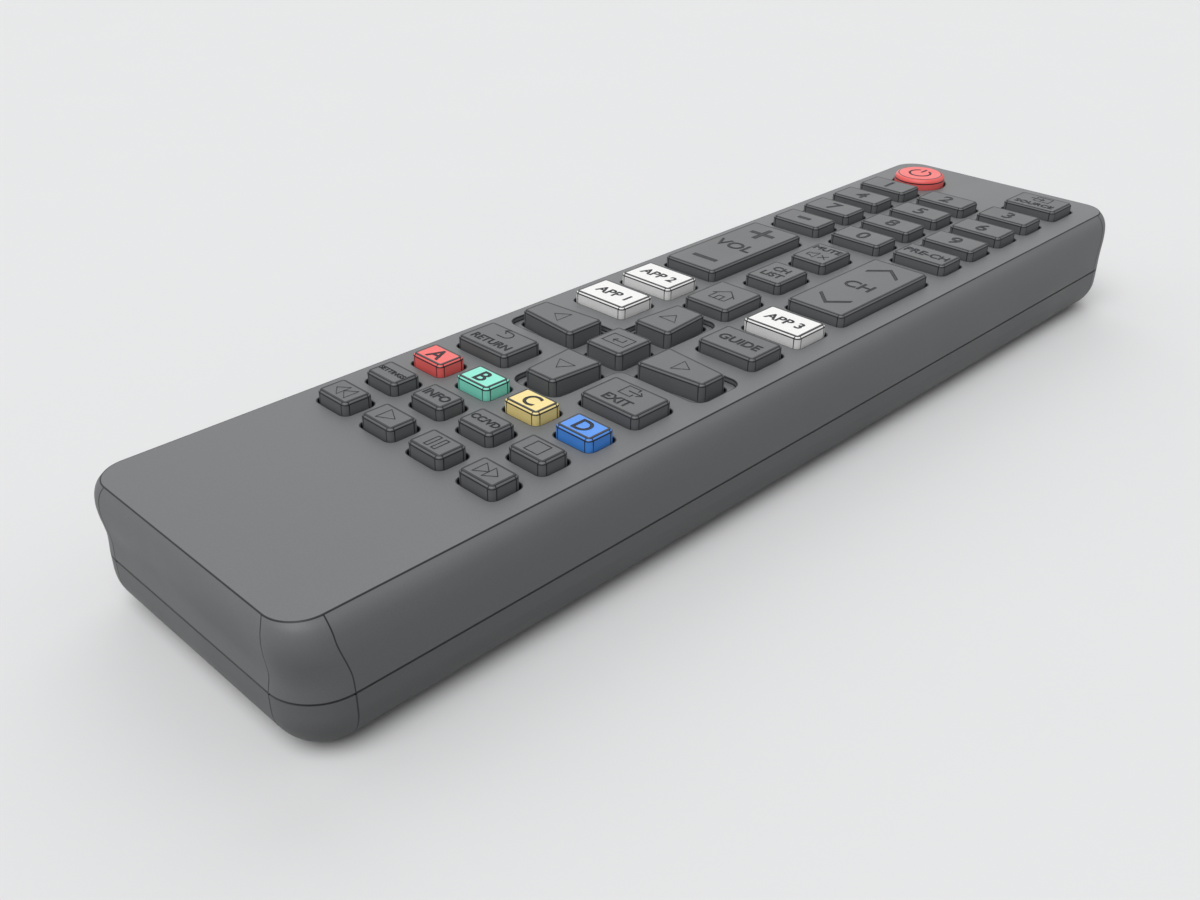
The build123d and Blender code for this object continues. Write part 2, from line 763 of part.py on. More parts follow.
def transistor():
    """Flat-sided transistor on three legs, which drives the infrared emitter."""
    radius = transistor_diameter / 2
    flat = Pos(0, radius + transistor_flat) * Rectangle(4 * radius, 2 * radius)
    body = extrude(Circle(radius) - flat, transistor_height)
    leg_length = transistor_leg + transistor_leg_root
    leg = Box(transistor_leg_size, transistor_leg_size, leg_length, align=on_base)
    low = transistor_height - transistor_leg_root
    legs = [Pos(step * transistor_leg_pitch, 0, low) * leg for step in (-1, 0, 1)]
    return under_board(transistor_place, transistor_height + transistor_leg) * (body + legs)


def chip_resistors():
    """Row of small resistors under the board."""
    body = Box(*resistor_size, align=on_base)
    first = resistor_place[0] - (resistor_count - 1) / 2 * resistor_pitch
    places = [(first + number * resistor_pitch, resistor_place[1]) for number in range(resistor_count)]
    return Compound([under_board(place, resistor_size[2]) * body for place in places])


def infrared_emitter():
    """Infrared emitter lying under the board's head end, its dome towards the window."""
    radius = emitter_diameter / 2
    rim = emitter_flange_diameter / 2
    tip = emitter_length
    shoulder = tip - radius
    flange = emitter_flange_thickness
    corners = ((0, tip), (0, 0), (rim, 0), (rim, flange), (radius, flange), (radius, shoulder))
    section = make_face([Polyline(*corners), TangentArc((radius, shoulder), (0, tip), tangent=(0, 1))])
    axis = board_bottom - emitter_board_gap - rim
    wall_inside = plate_length / 2 + case_profile[-1][2] * case_end_bulge - case_wall - window_ear_thickness
    back = wall_inside - emitter_window_gap - emitter_length
    emitter = Pos(0, back, axis) * Rot(X=-90) * revolve(Plane.XZ * section, Axis.Z)
    run = Box(lead_size, lead_length, lead_size, align=(Align.CENTER, Align.MAX, Align.CENTER))
    rise = Box(lead_size, lead_size, board_bottom - axis, align=from_near)
    for x in (-lead_spacing / 2, lead_spacing / 2):
        emitter += Pos(x, back, axis) * run
        emitter += Pos(x, back - lead_length, axis) * rise
    return emitter


def infrared_window():
    """Window that follows the head's surface, with an ear behind the wall at each end."""
    inside = case_loft(0, case_wall + window_ear_thickness)
    pane = (case_loft(0, 0) & window_block(0, 0)) - inside
    ears = (case_loft(0, case_wall + window_clearance) & window_block(0, window_ear)) - inside
    return pane + ears


def save(shape, node):
    """Write one node's solid to its file."""
    export_step(shape, f"parts/{node}.step")


def main():
    """Build every node and write it."""
    flat_keys = rectangular_keys() + direction_keys()
    power_place = (keypad_shift - column_pitch + power_inset, near_edge + power_row)
    sides = (-column_pitch, column_pitch)
    rockers = row_of_keys(("rocker_volume", "rocker_channel"), sides, rocker_row, rocker_key)
    for key in flat_keys:
        save(key_cap(key), key.node)
    for key in rockers:
        save(rocker_cap(key), key.node)
    save(power_cap(*power_place), "key_power")
    presses = [(key.x, key.y) for key in flat_keys] + [power_place]
    presses += [(key.x, key.y + way * rocker_press_offset) for key in rockers for way in (-1, 1)]
    save(upper_case(flat_keys + rockers, power_place), "upper_case")
    save(keypad_mat(presses), "keypad_mat")
    for piece in (
        lower_case,
        battery_cover,
        battery_cells,
        spring_contacts,
        plate_contacts,
        circuit_board,
        control_chip,
        resonator,
        capacitor,
        transistor,
        chip_resistors,
        infrared_emitter,
        infrared_window,
    ):
        save(piece(), piece.__name__)


main()
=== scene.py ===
"""A hand-held remote control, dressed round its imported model: shells, keys, legends and inner pieces."""

import json
import logging
from dataclasses import dataclass, field, replace
from enum import Enum
from math import acos, atan2, cos, pi, radians, sin, tan

import bmesh
import bpy
from mathutils import Matrix, Vector
from mathutils.geometry import tessellate_polygon


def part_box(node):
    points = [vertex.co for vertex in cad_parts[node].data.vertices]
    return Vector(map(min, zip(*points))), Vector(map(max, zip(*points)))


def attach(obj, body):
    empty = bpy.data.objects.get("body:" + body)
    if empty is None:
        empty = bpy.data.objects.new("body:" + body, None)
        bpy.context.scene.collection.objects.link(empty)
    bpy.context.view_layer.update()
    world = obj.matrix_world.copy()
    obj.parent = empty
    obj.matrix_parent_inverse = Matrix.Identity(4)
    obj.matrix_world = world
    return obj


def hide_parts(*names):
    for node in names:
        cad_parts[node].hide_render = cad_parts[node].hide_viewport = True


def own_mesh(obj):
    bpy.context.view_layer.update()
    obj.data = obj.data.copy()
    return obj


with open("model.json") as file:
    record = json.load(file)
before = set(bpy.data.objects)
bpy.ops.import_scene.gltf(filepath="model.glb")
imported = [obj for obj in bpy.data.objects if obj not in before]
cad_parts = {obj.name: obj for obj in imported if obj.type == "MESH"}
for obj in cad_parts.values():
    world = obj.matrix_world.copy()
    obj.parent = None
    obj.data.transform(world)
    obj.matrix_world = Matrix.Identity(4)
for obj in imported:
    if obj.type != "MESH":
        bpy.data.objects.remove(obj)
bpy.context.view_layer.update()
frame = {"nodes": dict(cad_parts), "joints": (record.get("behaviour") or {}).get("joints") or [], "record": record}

MM = 0.001
LINE = "line"
UNIT = (0.0, 1.0)
FLIPPED = (1.0, 0.0)
NOISE_CORE = (0.3, 0.7)  # where most of a noise's values lie

log = logging.getLogger("remote")

Point = tuple[float, float]
Triple = tuple[float, float, float]
Row = tuple[float, ...]
Colour = Triple
Socket = bpy.types.NodeSocket


class Outline:
    """A closed outline in the plane of the keypad that can be drawn larger or smaller all round."""

    def points(self, growth: float = 0.0) -> list[Point]:
        """Points round the outline, moved outwards by growth."""
        raise NotImplementedError

    def marks(self) -> list[float]:
        """One number for each point: 1 where an edge line runs down the wall, 0 elsewhere."""
        raise NotImplementedError


@dataclass(frozen=True)
class RoundedPolygon(Outline):
    """A polygon, listed anticlockwise, with each corner turned into an arc."""

    corners: tuple[Point, ...]
    radius: float
    steps: int = 6
    line_reach: float = 0.16 * MM
    least_radius: float = 0.03 * MM
    inner_radius: float | None = None

    def grown(self, growth: float) -> list[Point]:
        """Corners of the polygon whose sides lie further out by growth.

        Args:
            growth: how far out the sides move.

        Returns:
            The corners, in order.
        """
        moved = []
        count = len(self.corners)
        for here in range(count):
            before, corner, after = (Vector(self.corners[(here + step) % count]) for step in (-1, 0, 1))
            first, second = (corner - before).normalized(), (after - corner).normalized()
            bisector = Vector((first.y + second.y, -first.x - second.x))
            scale = growth / (1 + first.dot(second))
            moved.append(tuple(corner + bisector * scale))
        return moved

    def points(self, growth: float = 0.0) -> list[Point]:
        """Points round the outline.

        Args:
            growth: how far out the outline moves.

        Returns:
            For each corner a point before it, the points of its arc, and a point after it.
        """
        found = []
        corners = [Vector(corner) for corner in self.grown(growth)]
        count = len(corners)
        for here, corner in enumerate(corners):
            before = (corners[here - 1] - corner).normalized()
            after = (corners[(here + 1) % count] - corner).normalized()
            inward = before.cross(after) > 0
            radius = self.radius + growth
            if inward:
                radius = (self.inner_radius or self.radius) - growth
            radius = max(radius, self.least_radius)
            half = acos(max(-1.0, min(1.0, before.dot(after)))) / 2
            reach = radius / tan(half)
            centre = corner + (before + after).normalized() * (radius / sin(half))
            start, end = corner + before * reach, corner + after * reach
            found.append(tuple(start + before * self.line_reach))
            first = atan2(start.y - centre.y, start.x - centre.x)
            sweep = atan2(end.y - centre.y, end.x - centre.x) - first
            sweep = (sweep + pi) % (2 * pi) - pi
            beside = min(self.line_reach / (radius * abs(sweep)), 0.5 / self.steps)
            shares = [step / self.steps for step in range(1, self.steps)]
            for share in (0.0, beside, *shares, 1.0 - beside, 1.0):
                angle = first + sweep * share
                found.append((centre.x + radius * cos(angle), centre.y + radius * sin(angle)))
            found.append(tuple(end + after * self.line_reach))
        return found

    def marks(self) -> list[float]:
        """Edge lines run where each arc meets its two sides."""
        corner = [0.0, 1.0] + [0.0] * (self.steps + 1) + [1.0, 0.0]
        return corner * len(self.corners)


@dataclass(frozen=True)
class Circle(Outline):
    """A round outline."""

    x: float
    y: float
    radius: float
    steps: int = 64

    def points(self, growth: float = 0.0) -> list[Point]:
        """Points round the circle.

        Args:
            growth: how far out the circle moves.

        Returns:
            The points, in order.
        """
        turns = [2 * pi * step / self.steps for step in range(self.steps)]
        size = self.radius + growth
        return [(self.x + size * cos(turn), self.y + size * sin(turn)) for turn in turns]

    def marks(self) -> list[float]:
        """A round wall has no edge lines."""
        return [0.0] * self.steps


def rectangle(x: float, y: float, width: float, length: float) -> tuple[Point, ...]:
    """Corners of a rectangle round a middle, anticlockwise."""
    sides = ((-1, -1), (1, -1), (1, 1), (-1, 1))
    return tuple((x + across * width / 2, y + along * length / 2) for across, along in sides)


def extent(points: list[Point] | list[Vector]) -> tuple[Point, Point]:
    """Lowest and highest x and y of some points."""
    xs, ys = [point[0] for point in points], [point[1] for point in points]
    return (min(xs), min(ys)), (max(xs), max(ys))


def middle_of(node: str) -> Point:
    """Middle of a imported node, seen from above."""
    low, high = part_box(node)
    return (low.x + high.x) / 2, (low.y + high.y) / 2


def put(name: str, data: bpy.types.ID) -> bpy.types.Object:
    """Put a new object into the scene.

    Args:
        name: what the object is called.
        data: its mesh, curve, light or camera.

    Returns:
        The object.
    """
    piece = bpy.data.objects.new(name, data)
    bpy.context.scene.collection.objects.link(piece)
    return piece


class Skin:
    """Gathers rings of points and the faces between them into one closed mesh."""

    def __init__(self) -> None:
        """Start with nothing."""
        self.points: list[Triple] = []
        self.lines: list[float] = []
        self.faces: list[tuple[int, ...]] = []

    def ring(
        self, outline: Outline, growth: float, height: float, line: float = 0.0, corner: float = 0.0
    ) -> list[int]:
        """Add one ring of points.

        Args:
            outline: the outline that the ring follows.
            growth: how far outside the outline it lies.
            height: its height in the frame.
            line: strength of an edge line along the whole ring.
            corner: strength of the edge lines that cross the ring at its corners.

        Returns:
            The numbers of the new points, in order.
        """
        start = len(self.points)
        for point, mark in zip(outline.points(growth), outline.marks()):
            self.points.append((point[0], point[1], height))
            self.lines.append(max(line, mark * corner))
        return list(range(start, len(self.points)))

    def bridge(self, first: list[int], second: list[int]) -> None:
        """Join two rings with a band of quads.

        Args:
            first: the numbers of one ring's points.
            second: the numbers of the other's, equally many.
        """
        count = len(first)
        for here in range(count):
            ahead = (here + 1) % count
            self.faces.append((first[here], first[ahead], second[ahead], second[here]))

    def tower(self, outline: Outline, section: list[Row]) -> list[list[int]]:
        """Add a ring for each row of a section and bridge them in turn.

        Args:
            outline: the outline that every ring follows.
            section: rows of growth, height and, where they aren't 0, line strength and corner line strength.

        Returns:
            The rings, in order.
        """
        rings = [self.ring(outline, *row) for row in section]
        for first, second in zip(rings, rings[1:]):
            self.bridge(first, second)
        return rings

    def cap(self, outer: list[int], holes: list[list[int]] | None = None) -> None:
        """Close a flat ring with triangles.

        Args:
            outer: the numbers of the ring's points.
            holes: rings inside it that stay open.
        """
        loops = [outer] + (holes or [])
        numbers = [number for loop in loops for number in loop]
        flat = [[Vector((*self.points[number][:2], 0.0)) for number in loop] for loop in loops]
        for triangle in tessellate_polygon(flat):
            self.faces.append(tuple(numbers[place] for place in triangle))

    def column(self, outline: Outline, section: list[Row]) -> None:
        """Add a tower that is closed at both ends.

        Args:
            outline: the outline that every ring follows.
            section: its rows, as for a tower.
        """
        rings = self.tower(outline, section)
        self.cap(rings[0])
        self.cap(rings[-1])

    def block(self, low: Triple, high: Triple, corner: float = 0.1 * MM) -> None:
        """Add a small closed block.

        Args:
            low: its lowest corner.
            high: its highest corner.
            corner: radius of its upright edges.
        """
        x, y = (low[0] + high[0]) / 2, (low[1] + high[1]) / 2
        plan = RoundedPolygon(rectangle(x, y, high[0] - low[0], high[1] - low[1]), corner, steps=2)
        self.column(plan, [(0.0, low[2]), (0.0, high[2])])

    def make(self, name: str) -> bpy.types.Object:
        """Turn what was gathered into an object, with its normals outwards and its edge lines kept.

        Args:
            name: what the object is called.

        Returns:
            The object.
        """
        mesh = bpy.data.meshes.new(name)
        mesh.from_pydata(self.points, [], self.faces)
        lines = mesh.attributes.new(LINE, "FLOAT", "POINT")
        lines.data.foreach_set("value", self.lines)
        shape = bmesh.new()
        shape.from_mesh(mesh)
        bmesh.ops.recalc_face_normals(shape, faces=shape.faces)
        shape.to_mesh(mesh)
        shape.free()
        return put(name, mesh)


def smooth(piece: bpy.types.Object, sharp_angle: float = 35.0) -> None:
    """Shade a piece smooth between edges sharper than an angle in degrees."""
    piece.data.shade_smooth()
    piece.data.set_sharp_from_angle(angle=radians(sharp_angle))


def keep_flat(piece: bpy.types.Object, weight: int = 100) -> None:
    """Let the larger faces of a piece set its shading, so that flats look flat beside small bevels.

    Args:
        piece: the piece.
        weight: how much the larger faces count for, up to 100.
    """
    weighted = piece.modifiers.new("weighted_normals", "WEIGHTED_NORMAL")
    weighted.keep_sharp = True
    weighted.weight = weight


def dress(piece: bpy.types.Object, *materials: bpy.types.Material) -> None:
    """Give a piece new materials in place of what it has.

    Args:
        piece: the piece.
        materials: its materials, in the order of its faces' numbers.
    """
    piece.data.materials.clear()
    for material in materials:
        piece.data.materials.append(material)


def shade(colour: Colour, factor: float) -> Colour:
    """A colour made darker or lighter by a factor."""
    return tuple(min(channel * factor, 1.0) for channel in colour)


class Mixed(Enum):
    """What a mix node mixes: its data type, and the numbers of its two inputs and its output."""

    COLOURS = ("RGBA", 6, 7, 2)
    VALUES = ("FLOAT", 2, 3, 0)


class Graph:
    """The node tree of one material, with short ways to add and link nodes."""

    def __init__(self, name: str) -> None:
        """Start a material with a principled shader and the place on the object.

        Args:
            name: what the material is called.
        """
        self.material = bpy.data.materials.new(name)
        self.material.use_nodes = True
        self.tree = self.material.node_tree
        self.tree.nodes.clear()
        output = self.node("ShaderNodeOutputMaterial")
        self.shader = self.node("ShaderNodeBsdfPrincipled")
        self.link(self.shader.outputs["BSDF"], output.inputs["Surface"])
        self.place = self.node("ShaderNodeTexCoord").outputs["Object"]

    def node(self, kind: str, **settings: object) -> bpy.types.ShaderNode:
        """Add a node.

        Args:
            kind: the node's type.
            settings: its properties, by name.

        Returns:
            The node.
        """
        made = self.tree.nodes.new(kind)
        for name, value in settings.items():
            setattr(made, name, value)
        return made

    def link(self, source: Socket, target: Socket) -> None:
        """Link one socket to another."""
        self.tree.links.new(source, target)

    def feed(self, target: Socket, value: Socket | Colour | float) -> None:
        """Link a socket to another, or set it.

        Args:
            target: the socket that is linked or set.
            value: the socket it is linked to, or a colour or a number to set it to.
        """
        if isinstance(value, Socket):
            self.link(value, target)
        else:
            target.default_value = (*value, 1.0) if isinstance(value, tuple) else value

    def axes(self) -> dict[str, Socket]:
        """The place on the object as three values.

        Returns:
            A socket for each of X, Y and Z.
        """
        split = self.node("ShaderNodeSeparateXYZ")
        self.link(self.place, split.inputs["Vector"])
        return {axis: split.outputs[axis] for axis in "XYZ"}

    def noise(self, size: float, detail: float = 2.0, stretch: Triple = (1.0, 1.0, 1.0)) -> Socket:
        """Noise over the object.

        Args:
            size: about how large its features are, in metres.
            detail: how many finer layers it has.
            stretch: how much it is squeezed along each axis.

        Returns:
            The noise, from 0 to 1.
        """
        mapping = self.node("ShaderNodeMapping")
        mapping.inputs["Scale"].default_value = stretch
        self.link(self.place, mapping.inputs["Vector"])
        noise = self.node("ShaderNodeTexNoise")
        noise.inputs["Scale"].default_value = 1 / size
        noise.inputs["Detail"].default_value = detail
        self.link(mapping.outputs["Vector"], noise.inputs["Vector"])
        return noise.outputs["Fac"]

    def fit(self, value: Socket, source: Point = NOISE_CORE, target: Point = UNIT) -> Socket:
        """Map a value from one range to another, clamped.

        Args:
            value: the value.
            source: the range that it comes in.
            target: the range that it is mapped to.

        Returns:
            The mapped value.
        """
        made = self.node("ShaderNodeMapRange", clamp=True)
        for name, number in zip(("From Min", "From Max", "To Min", "To Max"), (*source, *target)):
            made.inputs[name].default_value = number
        self.link(value, made.inputs["Value"])
        return made.outputs["Result"]

    def math(self, operation: str, *values: Socket | float) -> Socket:
        """Work out one value from others.

        Args:
            operation: the node's name for what is worked out.
            values: what goes in, each a number or a socket.

        Returns:
            The result.
        """
        made = self.node("ShaderNodeMath", operation=operation)
        for place, value in enumerate(values):
            self.feed(made.inputs[place], value)
        return made.outputs[0]

    def mix(
        self, share: Socket, first: Socket | Colour, second: Socket | Colour, kind: Mixed = Mixed.COLOURS
    ) -> Socket:
        """Mix two colours or two values.

        Args:
            share: how much of the second is mixed in.
            first: what shows where the share is 0.
            second: what shows where the share is 1.
            kind: whether colours or values are mixed.

        Returns:
            The mixture.
        """
        data_type, low, high, result = kind.value
        made = self.node("ShaderNodeMix", data_type=data_type)
        for place, value in ((0, share), (low, first), (high, second)):
            self.feed(made.inputs[place], value)
        return made.outputs[result]

    def tint(self, share: Socket, colour: Colour, shades: Point) -> Socket:
        """Vary a colour by a share, between two shades of it."""
        return self.mix(share, shade(colour, shades[0]), shade(colour, shades[1]))

    def lines(self) -> Socket:
        """Strength of the edge lines on the surface, from 0 to 1."""
        return self.node("ShaderNodeAttribute", attribute_name=LINE).outputs["Fac"]

    def paint(self, colour: Socket) -> None:
        """Colour the surface."""
        self.link(colour, self.shader.inputs["Base Color"])

    def dull(self, value: Socket, roughness: Point, source: Point = NOISE_CORE) -> None:
        """Vary the roughness of the surface over a range, by a value."""
        self.link(self.fit(value, source, roughness), self.shader.inputs["Roughness"])

    def relief(self, height: Socket, depth: float) -> None:
        """Raise the surface.

        Args:
            height: a value that is 1 where the surface is highest.
            depth: how high that is, in metres.
        """
        bump = self.node("ShaderNodeBump")
        bump.inputs["Strength"].default_value = 1.0
        bump.inputs["Distance"].default_value = depth
        self.link(height, bump.inputs["Height"])
        self.link(bump.outputs["Normal"], self.shader.inputs["Normal"])

    def set(self, **values: float) -> None:
        """Set the shader's own sockets, named with underscores for spaces."""
        for name, value in values.items():
            self.shader.inputs[name.replace("_", " ")].default_value = value


@dataclass(frozen=True)
class CornerLines:
    """Fine dark lines down the lower shell, where its rounded corners meet its straight sides and ends."""

    x: float
    y: float
    width: float = 0.14 * MM
    soft: float = 0.05 * MM
    lowest: float = 0.4 * MM

    def near(self, graph: Graph, value: Socket, place: float) -> Socket:
        """1 where a value is within the line's half width of a place, fading to 0."""
        apart = graph.math("ABSOLUTE", graph.math("SUBTRACT", value, place))
        return graph.fit(apart, (self.width / 2, self.width / 2 + self.soft), FLIPPED)

    def strength(self, graph: Graph) -> Socket:
        """Strength of the lines at a point of the surface.

        Args:
            graph: the node tree that they are drawn in.

        Returns:
            The strength, from 0 to 1.
        """
        axes = graph.axes()
        across, along = (graph.math("ABSOLUTE", axes[axis]) for axis in "XY")
        past_x = graph.fit(across, (self.x, self.x + self.width))
        past_y = graph.fit(along, (self.y, self.y + self.width))
        sides = graph.math("MULTIPLY", self.near(graph, along, self.y), past_x)
        ends = graph.math("MULTIPLY", self.near(graph, across, self.x), past_y)
        above = graph.fit(axes["Z"], (self.lowest, self.lowest + self.width))
        return graph.math("MULTIPLY", graph.math("MAXIMUM", sides, ends), above)


@dataclass(frozen=True)
class Finish:
    """What a surface looks like: the name of its material, its main colour and how its nodes are laid out."""

    name: str
    colour: Colour

    def lay(self, graph: Graph) -> None:
        """Lay out the nodes of the finish in a new material's tree."""
        raise NotImplementedError

    def make(self) -> bpy.types.Material:
        """Build the material.

        Returns:
            The material, with all its nodes.
        """
        graph = Graph(self.name)
        self.lay(graph)
        return graph.material


@dataclass(frozen=True)
class MouldedPlastic(Finish):
    """Moulded plastic: a fine eroded grain, faint flow streaks, and dark lines along its drawn edges."""

    roughness: float = 0.5
    polish: float = 0.05
    wear: float = 0.06
    wear_range: Point = (0.25, 0.75)
    grain: float = 0.16 * MM
    grain_depth: float = 0.004 * MM
    speck_range: Point = (0.35, 0.7)
    speck_share: float = 0.35
    speck_shade: float = 0.8
    streak: float = 7 * MM
    flow: Triple = (1.0, 0.45, 1.0)
    variation: float = 0.05
    line_colour: Colour = (0.012, 0.014, 0.018)
    line_range: Point = (0.2, 0.4)
    specular: float = 0.5
    corner_lines: CornerLines | None = None

    def lay(self, graph: Graph) -> None:
        """Lay out streaks, specks and lines over the plastic's colour.

        Args:
            graph: the new material's node tree.
        """
        streaks = graph.noise(self.streak, detail=3.0, stretch=self.flow)
        grain = graph.noise(self.grain)
        base = graph.tint(graph.fit(streaks), self.colour, (1 - self.variation, 1 + self.variation))
        specks = graph.fit(grain, self.speck_range, (0.0, self.speck_share))
        speckled = graph.mix(specks, base, shade(self.colour, self.speck_shade))
        drawn = self.corner_lines.strength(graph) if self.corner_lines else graph.lines()
        graph.paint(graph.mix(graph.fit(drawn, self.line_range), speckled, self.line_colour))
        graph.dull(streaks, (self.roughness - self.polish, self.roughness + self.wear), self.wear_range)
        graph.relief(grain, self.grain_depth)
        graph.set(Specular_IOR_Level=self.specular)


@dataclass(frozen=True)
class KeyPlastic(MouldedPlastic):
    """The smoother, more even plastic of the coloured keys."""

    roughness: float = 0.42
    grain_depth: float = 0.002 * MM
    variation: float = 0.03


@dataclass(frozen=True)
class Ink(Finish):
    """Printed ink of the legends: slightly uneven, duller than the key under it."""

    roughness: Point = (0.52, 0.6)
    patch: float = 0.35 * MM
    shades: Point = (0.85, 1.15)
    depth: float = 0.003 * MM

    def lay(self, graph: Graph) -> None:
        """Lay out uneven patches.

        Args:
            graph: the new material's node tree.
        """
        patches = graph.fit(graph.noise(self.patch, detail=3.0))
        graph.paint(graph.tint(patches, self.colour, self.shades))
        graph.dull(patches, self.roughness, UNIT)
        graph.relief(patches, self.depth)


@dataclass(frozen=True)
class Metal(Finish):
    """Plated metal with fine drawn scratches and a few dull patches."""

    roughness: float = 0.28
    stretch: Triple = (1.0, 0.08, 1.0)
    polish: float = 0.08
    wear: float = 0.14
    wear_range: Point = (0.3, 0.75)
    scratch: float = 0.12 * MM
    scratch_depth: float = 0.004 * MM
    patch: float = 2.5 * MM
    patch_range: Point = (0.35, 0.7)
    shades: Point = (1.0, 0.78)

    def lay(self, graph: Graph) -> None:
        """Lay out scratches and patches over bare metal.

        Args:
            graph: the new material's node tree.
        """
        scratches = graph.noise(self.scratch, detail=4.0, stretch=self.stretch)
        patches = graph.fit(graph.noise(self.patch, detail=3.0), self.patch_range)
        graph.paint(graph.tint(patches, self.colour, self.shades))
        graph.dull(scratches, (self.roughness - self.polish, self.roughness + self.wear), self.wear_range)
        graph.relief(scratches, self.scratch_depth)
        graph.set(Metallic=1.0)


@dataclass(frozen=True)
class DarkWindow(Finish):
    """Deep red, almost black plastic that lets only infrared through: polished, with faint swirls."""

    name: str = "window_plastic"
    colour: Colour = (0.012, 0.003, 0.004)
    roughness: Point = (0.06, 0.14)
    swirl: float = 5 * MM
    stretch: Triple = (1.0, 1.0, 0.4)
    shades: Point = (1.0, 1.8)
    grain: float = 0.5 * MM
    grain_depth: float = 0.002 * MM
    ior: float = 1.5

    def lay(self, graph: Graph) -> None:
        """Lay out swirls under a polished face.

        Args:
            graph: the new material's node tree.
        """
        swirls = graph.noise(self.swirl, detail=4.0, stretch=self.stretch)
        graph.paint(graph.tint(graph.fit(swirls), self.colour, self.shades))
        graph.dull(swirls, self.roughness)
        graph.relief(graph.noise(self.grain), self.grain_depth)
        graph.set(IOR=self.ior)


@dataclass(frozen=True)
class MatRubber(Finish):
    """Soft silicone of the mat under the keys: matt, with a dusty bloom."""

    name: str = "mat_rubber"
    colour: Colour = (0.26, 0.27, 0.28)
    roughness: Point = (0.68, 0.85)
    bloom: float = 3 * MM
    shades: Point = (0.9, 1.2)
    grain: float = 0.25 * MM
    grain_depth: float = 0.006 * MM

    def lay(self, graph: Graph) -> None:
        """Lay out the bloom and a fine grain.

        Args:
            graph: the new material's node tree.
        """
        bloom = graph.noise(self.bloom, detail=5.0)
        graph.paint(graph.tint(graph.fit(bloom), self.colour, self.shades))
        graph.dull(bloom, self.roughness)
        graph.relief(graph.noise(self.grain), self.grain_depth)


@dataclass(frozen=True)
class SolderMask(Finish):
    """Green lacquer over copper: tracks show through as paler lines."""

    name: str = "board_lacquer"
    colour: Colour = (0.02, 0.13, 0.05)
    roughness: Point = (0.25, 0.4)
    weave: float = 0.6 * MM
    shades: Point = (0.85, 1.15)
    track_colour: Colour = (0.06, 0.26, 0.1)
    track_share: float = 0.85
    track_pitch: float = 1.4 * MM
    track_width: float = 0.09
    track_length: float = 3.1
    track_spacing: float = 0.8
    track_depth: float = 0.02 * MM

    def lay(self, graph: Graph) -> None:
        """Lay out tracks, from the joints of a brick pattern, under the lacquer.

        Args:
            graph: the new material's node tree.
        """
        tracks = graph.node("ShaderNodeTexBrick", offset=0.37, squash=0.6, squash_frequency=3)
        tracks.inputs["Scale"].default_value = 1 / self.track_pitch
        tracks.inputs["Mortar Size"].default_value = self.track_width
        tracks.inputs["Brick Width"].default_value = self.track_length
        tracks.inputs["Row Height"].default_value = self.track_spacing
        graph.link(graph.place, tracks.inputs["Vector"])
        shown = graph.fit(tracks.outputs["Fac"], UNIT, (0.0, self.track_share))
        weave = graph.noise(self.weave)
        graph.paint(graph.mix(shown, graph.tint(weave, self.colour, self.shades), self.track_colour))
        graph.dull(weave, self.roughness)
        graph.relief(shown, self.track_depth)


@dataclass(frozen=True)
class Moulding(Finish):
    """Plain matt body of an electronic part, sleeve or ceramic, with a fine cast grain."""

    roughness: float = 0.55
    spread: float = 0.08
    grain: float = 0.2 * MM
    grain_depth: float = 0.008 * MM
    shades: Point = (0.7, 1.3)

    def lay(self, graph: Graph) -> None:
        """Lay out the grain.

        Args:
            graph: the new material's node tree.
        """
        grain = graph.noise(self.grain, detail=3.0)
        graph.paint(graph.tint(grain, self.colour, self.shades))
        graph.dull(grain, (self.roughness - self.spread, self.roughness + self.spread))
        graph.relief(grain, self.grain_depth)


@dataclass(frozen=True)
class ClearResin(Finish):
    """Tinted clear resin of the infrared emitter."""

    name: str = "emitter_resin"
    colour: Colour = (0.55, 0.66, 0.85)
    roughness: Point = (0.04, 0.12)
    haze: float = 0.8 * MM
    haze_depth: float = 0.004 * MM
    shades: Point = (1.0, 1.2)
    clearness: float = 0.75
    ior: float = 1.54

    def lay(self, graph: Graph) -> None:
        """Lay out a faint haze in a clear body.

        Args:
            graph: the new material's node tree.
        """
        haze = graph.noise(self.haze, detail=3.0)
        graph.paint(graph.tint(haze, self.colour, self.shades))
        graph.dull(haze, self.roughness)
        graph.relief(haze, self.haze_depth)
        graph.set(Transmission_Weight=self.clearness, IOR=self.ior)


